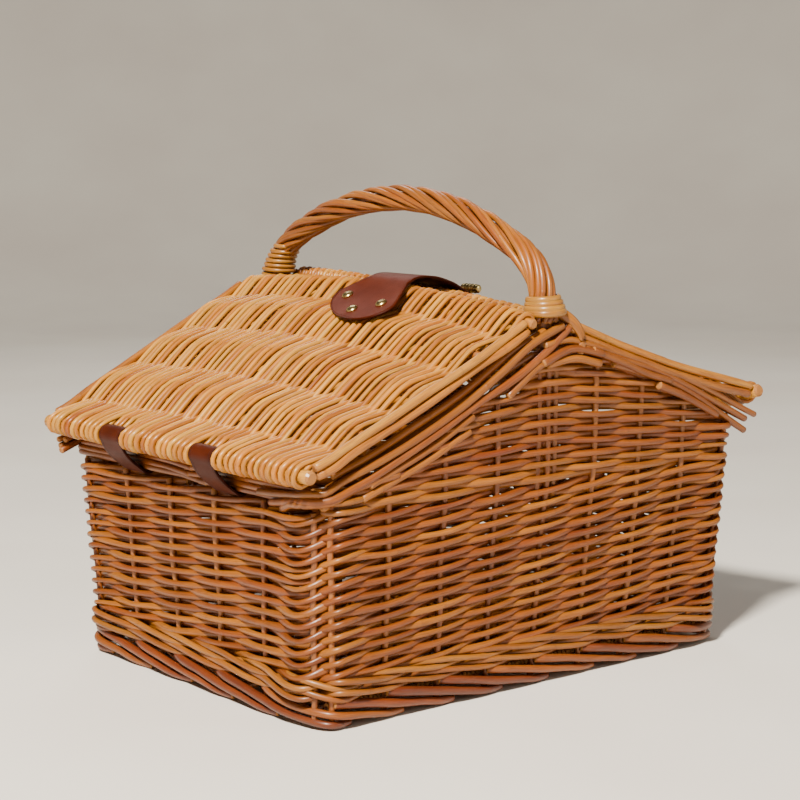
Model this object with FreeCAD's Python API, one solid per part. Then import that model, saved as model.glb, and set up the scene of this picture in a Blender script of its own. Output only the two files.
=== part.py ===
"""Wicker picnic basket: a rectangular woven tub with gabled ends, two sloping lids hinged at the
eaves on leather loops, a fixed roped carrying handle and a leather closing strap with a turn-lock.

Millimetres. X runs across the ridge, Y runs along it, Z is up. The origin is the middle of the foot.
The left side is -X and the front gable is -Y.
"""

import FreeCAD, Part

import math
import os

from FreeCAD import Vector

# ---- tub ---------------------------------------------------------------------------------------
WALL_THICKNESS = 12.0
WALL_FOOT_LENGTH = 389.0        # outside of the woven walls at the foot, along X
WALL_FOOT_WIDTH = 299.0         # the same along Y
WALL_RIM_LENGTH = 402.0         # outside of the woven walls at the rim, along X
WALL_RIM_WIDTH = 322.0          # the same along Y
RIM_HEIGHT = 162.0              # top of the eave border
APEX_HEIGHT = 268.0             # top of the gable border on the centre line
BORDER_DEPTH = 12.0             # height that the rim border takes up
FOOT_BORDER_HEIGHT = 25.0
FOOT_BORDER_PROUD = 2.5         # how far it stands out from the woven wall
LOWER_WALE_HEIGHT = 15.0
LOWER_WALE_PROUD = 1.5
BASE_BOTTOM = 8.0
BASE_TOP = 22.0
BASE_STICK_RADIUS = 3.5
BASE_STICK_COUNT = 7
BASE_STICK_CLEARANCE = 6.0      # from a base stick's end to the wall
STAKE_RADIUS = 2.3
STAKE_BOTTOM = 4.0
STAKE_TOP_COVER = 1.0           # weave left over the stakes' ends
CORNER_STAKE_INSET = 14.0       # corner stakes, from the outer corner
GABLE_STAKES = 9
EAVE_STAKES = 6
EAVE_ROD_RADIUS = 2.8
GABLE_ROD_RADIUS = 2.6
GABLE_ROD_OVERHANG = 8.0        # cut ends past the eave wall
EAVE_ROD_GAP = 0.6              # from the eave rods' ends to the gable wall

# ---- lids --------------------------------------------------------------------------------------
LID_EDGE_X = 213.0              # axis of the rod at the eave edge, the lid's hinge axis
LID_EDGE_Z = 177.5
LID_RIDGE_X = 20.0              # axis of the rod at the ridge edge
LID_RIDGE_Z = 271.5
LID_THICKNESS = 14.0
LID_EDGE_ROD_RADIUS = 5.0
LID_EDGE_ROD_LENGTH = 340.0
LID_EDGE_WRAP_RADIUS = 9.5      # weavers folded round the edge rod
LID_RIDGE_ROD_RADIUS = 3.5
LID_RIDGE_ROD_LENGTH = 336.0
LID_WEAVE_WIDTH = 325.0
LID_STICK_RADIUS = 3.0
LID_STICK_COUNT = 3
LID_STICK_PITCH = 55.5          # counted from the edge rod, so the stretch at the ridge is shorter
LID_SIDE_ROD_RADIUS = 3.0
LID_SIDE_ROD_START = 9.5        # from the edge rod's axis
LID_WINDOW_WIDTH = 32.0         # bare stretch of edge rod at each hinge strap
LID_WINDOW_DEPTH = 12.5         # from the edge rod's axis up the slope

# ---- handle ------------------------------------------------------------------------------------
HANDLE_FOOT_Y = 145.0
HANDLE_LEG_BOTTOM = 175.0
HANDLE_SPRING_Z = 272.0         # where the straight legs turn into the arch
HANDLE_SHOULDER_RADIUS = 45.0
HANDLE_CROWN_Z = 338.0          # centre line of the rope at the top
BOW_RADIUS = 4.5
ROPE_RADIUS = 10.0
BINDING_RADIUS = 11.5
BINDING_BOTTOM = 268.3
BINDING_HEIGHT_FRONT = 16.0
BINDING_HEIGHT_BACK = 22.0
BINDING_REACH = 10.0            # how far the binding stretches outwards over the gable

# ---- leather and brass -------------------------------------------------------------------------
LEATHER = 2.0
HINGE_STRAP_WIDTH = 28.0
HINGE_STRAP_Y = {"back": 70.0, "front": -50.0}
HINGE_ROD_CLEARANCE = 0.4
HINGE_BORDER_CLEARANCE = 0.5
HINGE_LAP_START = 11.5          # along the inner run, from the edge rod
HINGE_LAP_LENGTH = 12.5
HINGE_NOTCH_WIDTH = 31.0        # in the wall, under the eave border
HINGE_NOTCH_DEPTH = 3.5
RIVET_SHANK_RADIUS = 2.0
RIVET_HEAD_RADIUS = 4.0
RIVET_HEAD_HEIGHT = 1.2

STRAP_LOBE_RADIUS = 36.0        # rounded tongue on the left lid
STRAP_REACH = 66.0              # tongue tip to the ridge rod's axis
STRAP_NECK_WIDTH = 52.0         # width where it crosses the ridge
STRAP_LIFT = 1.3                # the flap's clearance over the right lid and the lock plate
STRAP_FLAP_REACH = 72.0         # down the right slope
STRAP_SLOT = (24.0, 11.0)       # buttonhole in the flap, along and across it
STRAP_RIVET_TIP_INSET = 12.0
STRAP_RIVET_SIDE_INSET = 24.5
STRAP_RIVET_SPREAD = 24.0
CAP_RADIUS = 4.6
CAP_HEIGHT = 2.2

LOCK_S = 42.0                   # turn-lock, down the right slope from the ridge rod's axis
LOCK_PLATE = (30.0, 17.0, 1.0)  # length along the ridge, width, thickness
LOCK_TACK_OFFSET = 11.0
LOCK_TACK_RADIUS = 1.4
LOCK_STEM_RADIUS = 1.8
LOCK_BARREL_RADIUS = 3.75
LOCK_BARREL_LENGTH = 19.0
LOCK_BARREL_N = 15.0            # height of the barrel's axis over the lid's middle plane
LOCK_GROOVES = 4
LOCK_GROOVE_DEPTH = 0.7
LOCK_GROOVE_WIDTH = 1.2

# ---- worked out --------------------------------------------------------------------------------
WEAVE_TOP = RIM_HEIGHT - BORDER_DEPTH
WALE_TOP = FOOT_BORDER_HEIGHT + LOWER_WALE_HEIGHT
GABLE_SLOPE = 2 * (APEX_HEIGHT - RIM_HEIGHT) / WALL_RIM_LENGTH
GABLE_WEAVE_APEX = APEX_HEIGHT - BORDER_DEPTH
GABLE_TILT = math.atan(GABLE_SLOPE)
EAVE_BUNDLE_RADIUS = EAVE_ROD_RADIUS * (1 + 2 / math.sqrt(3))
EAVE_BUNDLE_Z = RIM_HEIGHT - EAVE_BUNDLE_RADIUS
LID_RUN = LID_EDGE_X - LID_RIDGE_X
LID_RISE = LID_RIDGE_Z - LID_EDGE_Z
LID_LENGTH = math.hypot(LID_RUN, LID_RISE)
LID_TILT = math.degrees(math.atan2(LID_RISE, LID_RUN))
HALF_LID = LID_THICKNESS / 2
ALONG_Y = Vector(0, 1, 0)


def half_length(z):
    """Half of the woven tub's outside length at height z."""
    return (WALL_FOOT_LENGTH + (WALL_RIM_LENGTH - WALL_FOOT_LENGTH) * z / RIM_HEIGHT) / 2


def half_width(z):
    """Half of the woven tub's outside width at height z."""
    return (WALL_FOOT_WIDTH + (WALL_RIM_WIDTH - WALL_FOOT_WIDTH) * z / RIM_HEIGHT) / 2


EAVE_BUNDLE_X = half_length(EAVE_BUNDLE_Z) - EAVE_BUNDLE_RADIUS - 0.2


# ---- helpers -----------------------------------------------------------------------------------
def polygon_face(points):
    return Part.Face(Part.makePolygon(list(points) + [points[0]]))


def solid_between(first, second):
    """Solid between two flat outlines that have the same number of corners."""
    faces = [polygon_face(first), polygon_face(second)]
    for i in range(len(first)):
        j = (i + 1) % len(first)
        faces.append(polygon_face([first[i], first[j], second[j], second[i]]))
    solid = Part.makeSolid(Part.makeShell(faces))
    if solid.Volume < 0:
        solid.reverse()
    return solid


def rod(start, end, radius):
    """Round rod from one point to another."""
    direction = end - start
    return Part.makeCylinder(radius, direction.Length, start, direction)


def mirrored(shape, normal):
    return shape.mirror(Vector(0, 0, 0), normal)


def box_between(low, high):
    size = high - low
    return Part.makeBox(size.x, size.y, size.z, low)


def save(name, *solids):
    shape = solids[0] if len(solids) == 1 else Part.makeCompound(list(solids))
    shape.exportStep("parts/" + name + ".step")


# ---- tub walls ---------------------------------------------------------------------------------
def eave_wall_block(low, high, proud=0.0):
    """Stretch of the right-hand wall between two heights, mitred at the corners."""

    def corner(z, offset, side):
        return Vector(half_length(z) + offset, side * (half_width(z) + offset), z)

    def outline(offset):
        return [corner(low, offset, -1), corner(low, offset, 1),
                corner(high, offset, 1), corner(high, offset, -1)]

    return solid_between(outline(proud), outline(-WALL_THICKNESS))


def gable_wall_block(low, high, proud=0.0):
    """Stretch of the front wall between two heights, mitred at the corners."""

    def corner(z, offset, side):
        return Vector(side * (half_length(z) + offset), -(half_width(z) + offset), z)

    def outline(offset):
        return [corner(low, offset, -1), corner(low, offset, 1),
                corner(high, offset, 1), corner(high, offset, -1)]

    return solid_between(outline(proud), outline(-WALL_THICKNESS))


def gable_weave_block():
    """Woven front wall from the lower wale up to the gable's two slopes."""
    growth = (WALL_RIM_LENGTH - WALL_FOOT_LENGTH) / RIM_HEIGHT / 2

    def shoulder(offset):
        """Height where the corner edge meets the slope."""
        rise = GABLE_WEAVE_APEX - GABLE_SLOPE * (WALL_FOOT_LENGTH / 2 + offset)
        return rise / (1 + GABLE_SLOPE * growth)

    def outline(offset):
        top = shoulder(offset)
        return [Vector(-half_length(WALE_TOP) - offset, -half_width(WALE_TOP) - offset, WALE_TOP),
                Vector(half_length(WALE_TOP) + offset, -half_width(WALE_TOP) - offset, WALE_TOP),
                Vector(half_length(top) + offset, -half_width(top) - offset, top),
                Vector(0, -half_width(GABLE_WEAVE_APEX) - offset, GABLE_WEAVE_APEX),
                Vector(-half_length(top) - offset, -half_width(top) - offset, top)]

    return solid_between(outline(0.0), outline(-WALL_THICKNESS))


def spread(count):
    """Evenly spaced values from -1 to 1."""
    return [-1 + 2 * i / (count - 1) for i in range(count)]


def eave_stakes():
    """Upright stakes of the right-hand wall."""
    stakes = []
    top = WEAVE_TOP - STAKE_TOP_COVER
    for t in spread(EAVE_STAKES):
        ends = [Vector(half_length(z) - WALL_THICKNESS / 2,
                       t * (half_width(z) - CORNER_STAKE_INSET), z) for z in (STAKE_BOTTOM, top)]
        stakes.append(rod(ends[0], ends[1], STAKE_RADIUS))
    return stakes


def gable_stakes():
    """Upright stakes of the front wall, each as tall as the gable is over it."""
    stakes = []
    for t in spread(GABLE_STAKES):
        reach = abs(t) * (half_length(RIM_HEIGHT) - CORNER_STAKE_INSET) + STAKE_RADIUS
        top = GABLE_WEAVE_APEX - GABLE_SLOPE * reach - STAKE_TOP_COVER
        ends = [Vector(t * (half_length(min(z, RIM_HEIGHT)) - CORNER_STAKE_INSET),
                       -(half_width(z) - WALL_THICKNESS / 2), z) for z in (STAKE_BOTTOM, top)]
        stakes.append(rod(ends[0], ends[1], STAKE_RADIUS))
    return stakes


def hinge_notches():
    """Gaps in the right-hand wall's top edge, where the hinge straps pass under the border."""
    notches = []
    for y in HINGE_STRAP_Y.values():
        low = Vector(half_length(0) - 2 * WALL_THICKNESS, y - HINGE_NOTCH_WIDTH / 2,
                     WEAVE_TOP - HINGE_NOTCH_DEPTH)
        high = Vector(half_length(RIM_HEIGHT) + WALL_THICKNESS, y + HINGE_NOTCH_WIDTH / 2,
                      WEAVE_TOP + WALL_THICKNESS)
        notches.append(box_between(low, high))
    return notches


def make_walls():
    right_stakes = eave_stakes()
    front_stakes = gable_stakes()
    right_bores = Part.makeCompound(right_stakes)
    front_bores = Part.makeCompound(front_stakes)
    right_cuts = Part.makeCompound(right_stakes + hinge_notches())
    pieces = {
        "foot_border": (eave_wall_block(0.0, FOOT_BORDER_HEIGHT, FOOT_BORDER_PROUD).cut(right_bores),
                        gable_wall_block(0.0, FOOT_BORDER_HEIGHT, FOOT_BORDER_PROUD).cut(front_bores)),
        "lower_wale": (eave_wall_block(FOOT_BORDER_HEIGHT, WALE_TOP, LOWER_WALE_PROUD).cut(right_bores),
                       gable_wall_block(FOOT_BORDER_HEIGHT, WALE_TOP, LOWER_WALE_PROUD).cut(front_bores)),
        "wall_weave": (eave_wall_block(WALE_TOP, WEAVE_TOP).cut(right_cuts),
                       gable_weave_block().cut(front_bores)),
        "stakes": (right_bores, front_bores),
    }
    for name, (right, front) in pieces.items():
        save(name + "_right", right)
        save(name + "_left", mirrored(right, Vector(1, 0, 0)))
        save(name + "_front", front)
        save(name + "_back", mirrored(front, Vector(0, 1, 0)))


def make_base():
    """Woven base panel with its stout cross sticks."""

    def outline(z):
        x = half_length(z) - WALL_THICKNESS
        y = half_width(z) - WALL_THICKNESS
        return [Vector(-x, -y, z), Vector(x, -y, z), Vector(x, y, z), Vector(-x, y, z)]

    reach = half_length(BASE_BOTTOM) - WALL_THICKNESS - BASE_STICK_CLEARANCE
    width = half_width(BASE_BOTTOM) - WALL_THICKNESS - CORNER_STAKE_INSET
    z = (BASE_BOTTOM + BASE_TOP) / 2
    sticks = [rod(Vector(-reach, t * width, z), Vector(reach, t * width, z), BASE_STICK_RADIUS)
              for t in spread(BASE_STICK_COUNT)]
    weave = solid_between(outline(BASE_BOTTOM), outline(BASE_TOP))
    save("base_weave", weave.cut(Part.makeCompound(sticks)))
    save("base_sticks", *sticks)


def make_eave_borders():
    """Three rods packed in a triangle along each eave."""
    circle = 2 * EAVE_ROD_RADIUS / math.sqrt(3) + 0.02
    reach = half_width(WEAVE_TOP) - WALL_THICKNESS - EAVE_ROD_GAP
    rods = []
    for angle in (90, 210, 330):
        x = EAVE_BUNDLE_X + circle * math.cos(math.radians(angle))
        z = EAVE_BUNDLE_Z + circle * math.sin(math.radians(angle))
        rods.append(rod(Vector(x, -reach, z), Vector(x, reach, z), EAVE_ROD_RADIUS))
    save("eave_border_right", *rods)
    save("eave_border_left", *[mirrored(r, Vector(1, 0, 0)) for r in rods])


def make_gable_borders():
    """Four rods packed two by two up each slope of each gable."""
    pitch = GABLE_ROD_RADIUS / math.cos(GABLE_TILT) + 0.02
    inner_end = GABLE_ROD_RADIUS * math.sin(GABLE_TILT) + 0.3
    outer_end = WALL_RIM_LENGTH / 2 + GABLE_ROD_OVERHANG
    rods = []
    for layer in (pitch, 3 * pitch):
        for inset in (WALL_THICKNESS / 4, 3 * WALL_THICKNESS / 4):
            ends = []
            for x in (inner_end, outer_end):
                z = GABLE_WEAVE_APEX - GABLE_SLOPE * x + layer
                ends.append(Vector(x, -(half_width(z) - inset), z))
            rods.append(rod(ends[0], ends[1], GABLE_ROD_RADIUS))
    for end, flip_y in (("front", False), ("back", True)):
        for side, flip_x in (("right", False), ("left", True)):
            group = rods
            if flip_y:
                group = [mirrored(r, Vector(0, 1, 0)) for r in group]
            if flip_x:
                group = [mirrored(r, Vector(1, 0, 0)) for r in group]
            save("gable_border_" + end + "_" + side, *group)


# ---- handle ------------------------------------------------------------------------------------
def handle_path(bottom):
    """Centre line of the handle: straight legs, two shoulder arcs and one crown arc."""
    shoulder_y = HANDLE_FOOT_Y - HANDLE_SHOULDER_RADIUS
    rise = HANDLE_CROWN_Z - HANDLE_SPRING_Z
    excess = rise - HANDLE_SHOULDER_RADIUS
    # the crown arc touches both shoulder arcs: (R - r)^2 = shoulder_y^2 + (R - rise)^2
    crown_radius = (shoulder_y ** 2 + rise ** 2 - HANDLE_SHOULDER_RADIUS ** 2) / (2 * excess)
    crown_centre_z = HANDLE_CROWN_Z - crown_radius
    turn = math.atan2(HANDLE_SPRING_Z - crown_centre_z, shoulder_y)

    def on_shoulder(angle, side):
        return Vector(0, side * (shoulder_y + HANDLE_SHOULDER_RADIUS * math.cos(angle)),
                      HANDLE_SPRING_Z + HANDLE_SHOULDER_RADIUS * math.sin(angle))

    edges = [Part.LineSegment(Vector(0, -HANDLE_FOOT_Y, bottom),
                              Vector(0, -HANDLE_FOOT_Y, HANDLE_SPRING_Z)),
             Part.Arc(on_shoulder(0, -1), on_shoulder(turn / 2, -1), on_shoulder(turn, -1)),
             Part.Arc(on_shoulder(turn, -1), Vector(0, 0, HANDLE_CROWN_Z), on_shoulder(turn, 1)),
             Part.Arc(on_shoulder(turn, 1), on_shoulder(turn / 2, 1), on_shoulder(0, 1)),
             Part.LineSegment(Vector(0, HANDLE_FOOT_Y, HANDLE_SPRING_Z),
                              Vector(0, HANDLE_FOOT_Y, bottom))]
    return Part.Wire([edge.toShape() for edge in edges])


def tube_along(path, radius, bottom):
    section = Part.Wire(Part.makeCircle(radius, Vector(0, -HANDLE_FOOT_Y, bottom), Vector(0, 0, 1)))
    return path.makePipeShell([section], True, True)


def binding(height):
    """Cane wound round the handle's foot and over the gable's apex, at the front."""
    inner_y = -HANDLE_FOOT_Y
    outer_y = -HANDLE_FOOT_Y - BINDING_REACH
    up = Vector(0, 0, height)
    outline = Part.Wire([
        Part.Arc(Vector(BINDING_RADIUS, inner_y, BINDING_BOTTOM),
                 Vector(0, inner_y + BINDING_RADIUS, BINDING_BOTTOM),
                 Vector(-BINDING_RADIUS, inner_y, BINDING_BOTTOM)).toShape(),
        Part.LineSegment(Vector(-BINDING_RADIUS, inner_y, BINDING_BOTTOM),
                         Vector(-BINDING_RADIUS, outer_y, BINDING_BOTTOM)).toShape(),
        Part.Arc(Vector(-BINDING_RADIUS, outer_y, BINDING_BOTTOM),
                 Vector(0, outer_y - BINDING_RADIUS, BINDING_BOTTOM),
                 Vector(BINDING_RADIUS, outer_y, BINDING_BOTTOM)).toShape(),
        Part.LineSegment(Vector(BINDING_RADIUS, outer_y, BINDING_BOTTOM),
                         Vector(BINDING_RADIUS, inner_y, BINDING_BOTTOM)).toShape()])
    return Part.Face(outline).extrude(up)


def make_handle():
    bow = tube_along(handle_path(HANDLE_LEG_BOTTOM), BOW_RADIUS, HANDLE_LEG_BOTTOM)
    rope_body = tube_along(handle_path(BINDING_BOTTOM), ROPE_RADIUS, BINDING_BOTTOM)
    save("handle_bow", bow)
    save("handle_rope", rope_body.cut(bow))
    front = binding(BINDING_HEIGHT_FRONT).cut(rope_body).cut(bow)
    back = mirrored(binding(BINDING_HEIGHT_BACK), Vector(0, 1, 0)).cut(rope_body).cut(bow)
    save("handle_binding_front", front)
    save("handle_binding_back", back)


# ---- lids --------------------------------------------------------------------------------------
def onto_lid(shape):
    """Place a shape drawn flat on the right-hand lid.

    It is drawn with +X up the slope from the edge rod's axis, and +Z out of the lid.
    """
    placed = mirrored(shape, Vector(1, 0, 0))
    placed.rotate(Vector(0, 0, 0), ALONG_Y, LID_TILT)
    placed.translate(Vector(LID_EDGE_X, 0, LID_EDGE_Z))
    return placed


def lid_bar(s, n, y_low, y_high, radius):
    """Rod along Y in the lid's flat frame."""
    return rod(Vector(s, y_low, n), Vector(s, y_high, n), radius)


def lid_pin(s, y, radius):
    """Long pin straight through the lid, in its flat frame."""
    return rod(Vector(s, y, -LID_THICKNESS), Vector(s, y, LID_THICKNESS), radius)


def rivet_places():
    """The closing strap's three rivets on the left lid: one near the tongue's tip, two at its sides."""
    tip = LID_LENGTH - STRAP_REACH
    side = tip + STRAP_RIVET_SIDE_INSET
    return [(tip + STRAP_RIVET_TIP_INSET, 0.0), (side, -STRAP_RIVET_SPREAD), (side, STRAP_RIVET_SPREAD)]


def tack_places():
    """The two tacks of the turn-lock's plate on the right lid."""
    return [(LID_LENGTH - LOCK_S, -LOCK_TACK_OFFSET), (LID_LENGTH - LOCK_S, LOCK_TACK_OFFSET)]


def lid_sticks():
    half = LID_WEAVE_WIDTH / 2 - 2.0
    return [lid_bar(LID_STICK_PITCH * (i + 1), 0.0, -half, half, LID_STICK_RADIUS)
            for i in range(LID_STICK_COUNT)]


def lid_side_rods():
    """Two stacked rods up each sloping side of the lid."""
    rods = []
    y = LID_WEAVE_WIDTH / 2 + LID_SIDE_ROD_RADIUS + 0.05
    end = LID_LENGTH - LID_RIDGE_ROD_RADIUS - 1.0
    for side in (-1, 1):
        for n in (-LID_SIDE_ROD_RADIUS - 0.05, LID_SIDE_ROD_RADIUS + 0.05):
            rods.append(rod(Vector(LID_SIDE_ROD_START, side * y, n), Vector(end, side * y, n),
                            LID_SIDE_ROD_RADIUS))
    return rods


def lid_weave(bores):
    """Woven panel folded round its edge rod and ridge rod, with a bare gap at each hinge strap."""
    half = LID_WEAVE_WIDTH / 2
    panel = Part.makeBox(LID_LENGTH, LID_WEAVE_WIDTH, LID_THICKNESS, Vector(0, -half, -HALF_LID))
    panel = panel.fuse(lid_bar(0.0, 0.0, -half, half, LID_EDGE_WRAP_RADIUS))
    panel = panel.fuse(lid_bar(LID_LENGTH, 0.0, -half, half, HALF_LID))
    for y in HINGE_STRAP_Y.values():
        low = Vector(-2 * LID_EDGE_WRAP_RADIUS, y - LID_WINDOW_WIDTH / 2, -2 * LID_EDGE_WRAP_RADIUS)
        high = Vector(LID_WINDOW_DEPTH, y + LID_WINDOW_WIDTH / 2, 2 * LID_EDGE_WRAP_RADIUS)
        panel = panel.cut(box_between(low, high))
    return panel.cut(Part.makeCompound(bores)).removeSplitter()


def make_lids():
    half_edge = LID_EDGE_ROD_LENGTH / 2
    half_ridge = LID_RIDGE_ROD_LENGTH / 2
    edge_rod = lid_bar(0.0, 0.0, -half_edge, half_edge, LID_EDGE_ROD_RADIUS)
    ridge_rod = lid_bar(LID_LENGTH, 0.0, -half_ridge, half_ridge, LID_RIDGE_ROD_RADIUS)
    sticks = lid_sticks()
    rods = sticks + [edge_rod, ridge_rod]
    pieces = {"edge_rod": [edge_rod], "ridge_rod": [ridge_rod], "sticks": sticks,
              "side_rods": lid_side_rods()}
    for name, shapes in pieces.items():
        right = [onto_lid(shape) for shape in shapes]
        save("lid_right_" + name, *right)
        save("lid_left_" + name, *[mirrored(shape, Vector(1, 0, 0)) for shape in right])
    right_weave = lid_weave(rods + [lid_pin(s, y, LOCK_TACK_RADIUS) for s, y in tack_places()])
    left_weave = lid_weave(rods + [lid_pin(s, y, RIVET_SHANK_RADIUS) for s, y in rivet_places()])
    save("lid_right_weave", onto_lid(right_weave))
    save("lid_left_weave", mirrored(onto_lid(left_weave), Vector(1, 0, 0)))


# ---- hinge straps ------------------------------------------------------------------------------
def belt(first, first_radius, second, second_radius, y, width):
    """Slab whose outline is a tight belt round two circles in the XZ plane."""
    line = second - first
    heading = math.atan2(line.z, line.x)
    lean = math.acos((first_radius - second_radius) / line.Length)

    def on(centre, radius, angle):
        return Vector(centre.x + radius * math.cos(angle), y, centre.z + radius * math.sin(angle))

    a = on(first, first_radius, heading + lean)
    b = on(second, second_radius, heading + lean)
    c = on(second, second_radius, heading - lean)
    d = on(first, first_radius, heading - lean)
    outline = Part.Wire([Part.LineSegment(a, b).toShape(),
                         Part.Arc(b, on(second, second_radius, heading), c).toShape(),
                         Part.LineSegment(c, d).toShape(),
                         Part.Arc(d, on(first, first_radius, heading + math.pi), a).toShape()])
    return Part.Face(outline).extrude(Vector(0, width, 0)), a, b


def hinge_strap(y):
    """Leather loop round the right-hand lid's edge rod and the eave border, and its rivet."""
    rod_centre = Vector(LID_EDGE_X, 0, LID_EDGE_Z)
    border_centre = Vector(EAVE_BUNDLE_X, 0, EAVE_BUNDLE_Z)
    rod_radius = LID_EDGE_ROD_RADIUS + HINGE_ROD_CLEARANCE
    border_radius = EAVE_BUNDLE_RADIUS + HINGE_BORDER_CLEARANCE
    start = y - HINGE_STRAP_WIDTH / 2
    hole, _, _ = belt(border_centre, border_radius, rod_centre, rod_radius, start, HINGE_STRAP_WIDTH)
    loop, a, b = belt(border_centre, border_radius + LEATHER, rod_centre, rod_radius + LEATHER,
                      start, HINGE_STRAP_WIDTH)
    run = (a - b).normalize()
    inwards = run.cross(ALONG_Y)
    if inwards.x > 0:
        inwards = inwards * -1
    corner = b + run * HINGE_LAP_START
    lap = polygon_face([corner, corner + run * HINGE_LAP_LENGTH,
                        corner + run * HINGE_LAP_LENGTH + inwards * LEATHER,
                        corner + inwards * LEATHER]).extrude(Vector(0, HINGE_STRAP_WIDTH, 0))
    middle = corner + run * (HINGE_LAP_LENGTH / 2) + Vector(0, HINGE_STRAP_WIDTH / 2, 0)
    outer_face = middle + inwards * LEATHER
    inner_face = middle - inwards * LEATHER
    shank = rod(inner_face, outer_face, RIVET_SHANK_RADIUS)
    heads = [rod(outer_face, outer_face + inwards * RIVET_HEAD_HEIGHT, RIVET_HEAD_RADIUS),
             rod(inner_face, inner_face - inwards * RIVET_HEAD_HEIGHT, RIVET_HEAD_RADIUS)]
    rivet = shank.fuse(heads).removeSplitter()
    strap = loop.cut(hole).fuse(lap).cut(shank).removeSplitter()
    return strap, rivet


def make_hinge_straps():
    rivets = []
    for place, y in HINGE_STRAP_Y.items():
        strap, rivet = hinge_strap(y)
        save("hinge_strap_right_" + place, strap)
        save("hinge_strap_left_" + place, mirrored(strap, Vector(1, 0, 0)))
        rivets.append(rivet)
    save("hinge_rivets_right", *rivets)
    save("hinge_rivets_left", *[mirrored(rivet, Vector(1, 0, 0)) for rivet in rivets])


# ---- closing strap and turn-lock ---------------------------------------------------------------
def cap_rivet(s, y, bottom, top):
    """Brass rivet with a domed cap, in the lid's flat frame."""
    shank = rod(Vector(s, y, bottom), Vector(s, y, top), RIVET_SHANK_RADIUS)
    ball_radius = (CAP_RADIUS ** 2 + CAP_HEIGHT ** 2) / (2 * CAP_HEIGHT)
    ball = Part.makeSphere(ball_radius, Vector(s, y, top + CAP_HEIGHT - ball_radius))
    cap = ball.common(Part.makeBox(4 * CAP_RADIUS, 4 * CAP_RADIUS, 2 * CAP_HEIGHT,
                                   Vector(s - 2 * CAP_RADIUS, y - 2 * CAP_RADIUS, top)))
    washer = rod(Vector(s, y, bottom - RIVET_HEAD_HEIGHT), Vector(s, y, bottom), CAP_RADIUS)
    return shank.fuse([cap, washer]).removeSplitter()


def make_closing_strap_base():
    """Tongue riveted to the left lid: a round lobe that narrows towards the ridge."""
    tip = LID_LENGTH - STRAP_REACH
    lobe_s = tip + STRAP_LOBE_RADIUS
    half_neck = STRAP_NECK_WIDTH / 2
    lean = math.radians(60)
    join = Vector(lobe_s + STRAP_LOBE_RADIUS * math.cos(lean), STRAP_LOBE_RADIUS * math.sin(lean), HALF_LID)
    join_back = Vector(join.x, -join.y, HALF_LID)
    outline = Part.Wire([
        Part.Arc(join, Vector(tip, 0, HALF_LID), join_back).toShape(),
        Part.LineSegment(join_back, Vector(LID_LENGTH, -half_neck, HALF_LID)).toShape(),
        Part.LineSegment(Vector(LID_LENGTH, -half_neck, HALF_LID),
                         Vector(LID_LENGTH, half_neck, HALF_LID)).toShape(),
        Part.LineSegment(Vector(LID_LENGTH, half_neck, HALF_LID), join).toShape()])
    tongue = Part.Face(outline).extrude(Vector(0, 0, LEATHER))
    places = rivet_places()
    rivets = [cap_rivet(s, y, -HALF_LID, HALF_LID + LEATHER) for s, y in places]
    tongue = tongue.cut(Part.makeCompound([lid_pin(s, y, RIVET_SHANK_RADIUS) for s, y in places]))
    save("closing_strap_base", mirrored(onto_lid(tongue), Vector(1, 0, 0)))
    save("closing_strap_rivets", *[mirrored(onto_lid(r), Vector(1, 0, 0)) for r in rivets])


def ridge_ring(centre_x, from_angle, to_angle, inner, outer):
    """Arc-shaped piece of leather over a ridge rod, as a face in the XZ plane."""

    def on(radius, angle):
        a = math.radians(angle)
        return Vector(centre_x + radius * math.cos(a), -STRAP_NECK_WIDTH / 2,
                      LID_RIDGE_Z + radius * math.sin(a))

    middle = (from_angle + to_angle) / 2
    return Part.Face(Part.Wire([
        Part.Arc(on(inner, from_angle), on(inner, middle), on(inner, to_angle)).toShape(),
        Part.LineSegment(on(inner, to_angle), on(outer, to_angle)).toShape(),
        Part.Arc(on(outer, to_angle), on(outer, middle), on(outer, from_angle)).toShape(),
        Part.LineSegment(on(outer, from_angle), on(inner, from_angle)).toShape()]))


def make_closing_strap_flap():
    """Free end of the strap: over the left ridge rod, across the gap and down the right slope."""
    inner = HALF_LID + STRAP_LIFT
    outer = inner + LEATHER
    half_neck = STRAP_NECK_WIDTH / 2
    across = Vector(0, STRAP_NECK_WIDTH, 0)
    left_bend = ridge_ring(-LID_RIDGE_X, 90 + LID_TILT - 3, 90, inner, outer).extrude(across)
    bridge = box_between(Vector(-LID_RIDGE_X, -half_neck, LID_RIDGE_Z + inner),
                         Vector(LID_RIDGE_X, half_neck, LID_RIDGE_Z + outer))
    right_bend = ridge_ring(LID_RIDGE_X, 90, 90 - LID_TILT, inner, outer).extrude(across)
    end = LID_LENGTH - STRAP_FLAP_REACH
    round_s = end + half_neck
    outline = Part.Wire([
        Part.LineSegment(Vector(LID_LENGTH, half_neck, inner), Vector(round_s, half_neck, inner)).toShape(),
        Part.Arc(Vector(round_s, half_neck, inner), Vector(end, 0, inner),
                 Vector(round_s, -half_neck, inner)).toShape(),
        Part.LineSegment(Vector(round_s, -half_neck, inner), Vector(LID_LENGTH, -half_neck, inner)).toShape(),
        Part.LineSegment(Vector(LID_LENGTH, -half_neck, inner), Vector(LID_LENGTH, half_neck, inner)).toShape()])
    tongue = Part.Face(outline).extrude(Vector(0, 0, LEATHER))
    slot_length, slot_width = STRAP_SLOT
    lock = LID_LENGTH - LOCK_S
    slot = box_between(Vector(lock - slot_length / 2, -slot_width / 2, 0),
                       Vector(lock + slot_length / 2, slot_width / 2, 2 * outer))
    tongue = onto_lid(tongue.cut(slot))
    save("closing_strap_flap", left_bend.fuse([bridge, right_bend, tongue]).removeSplitter())


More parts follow.
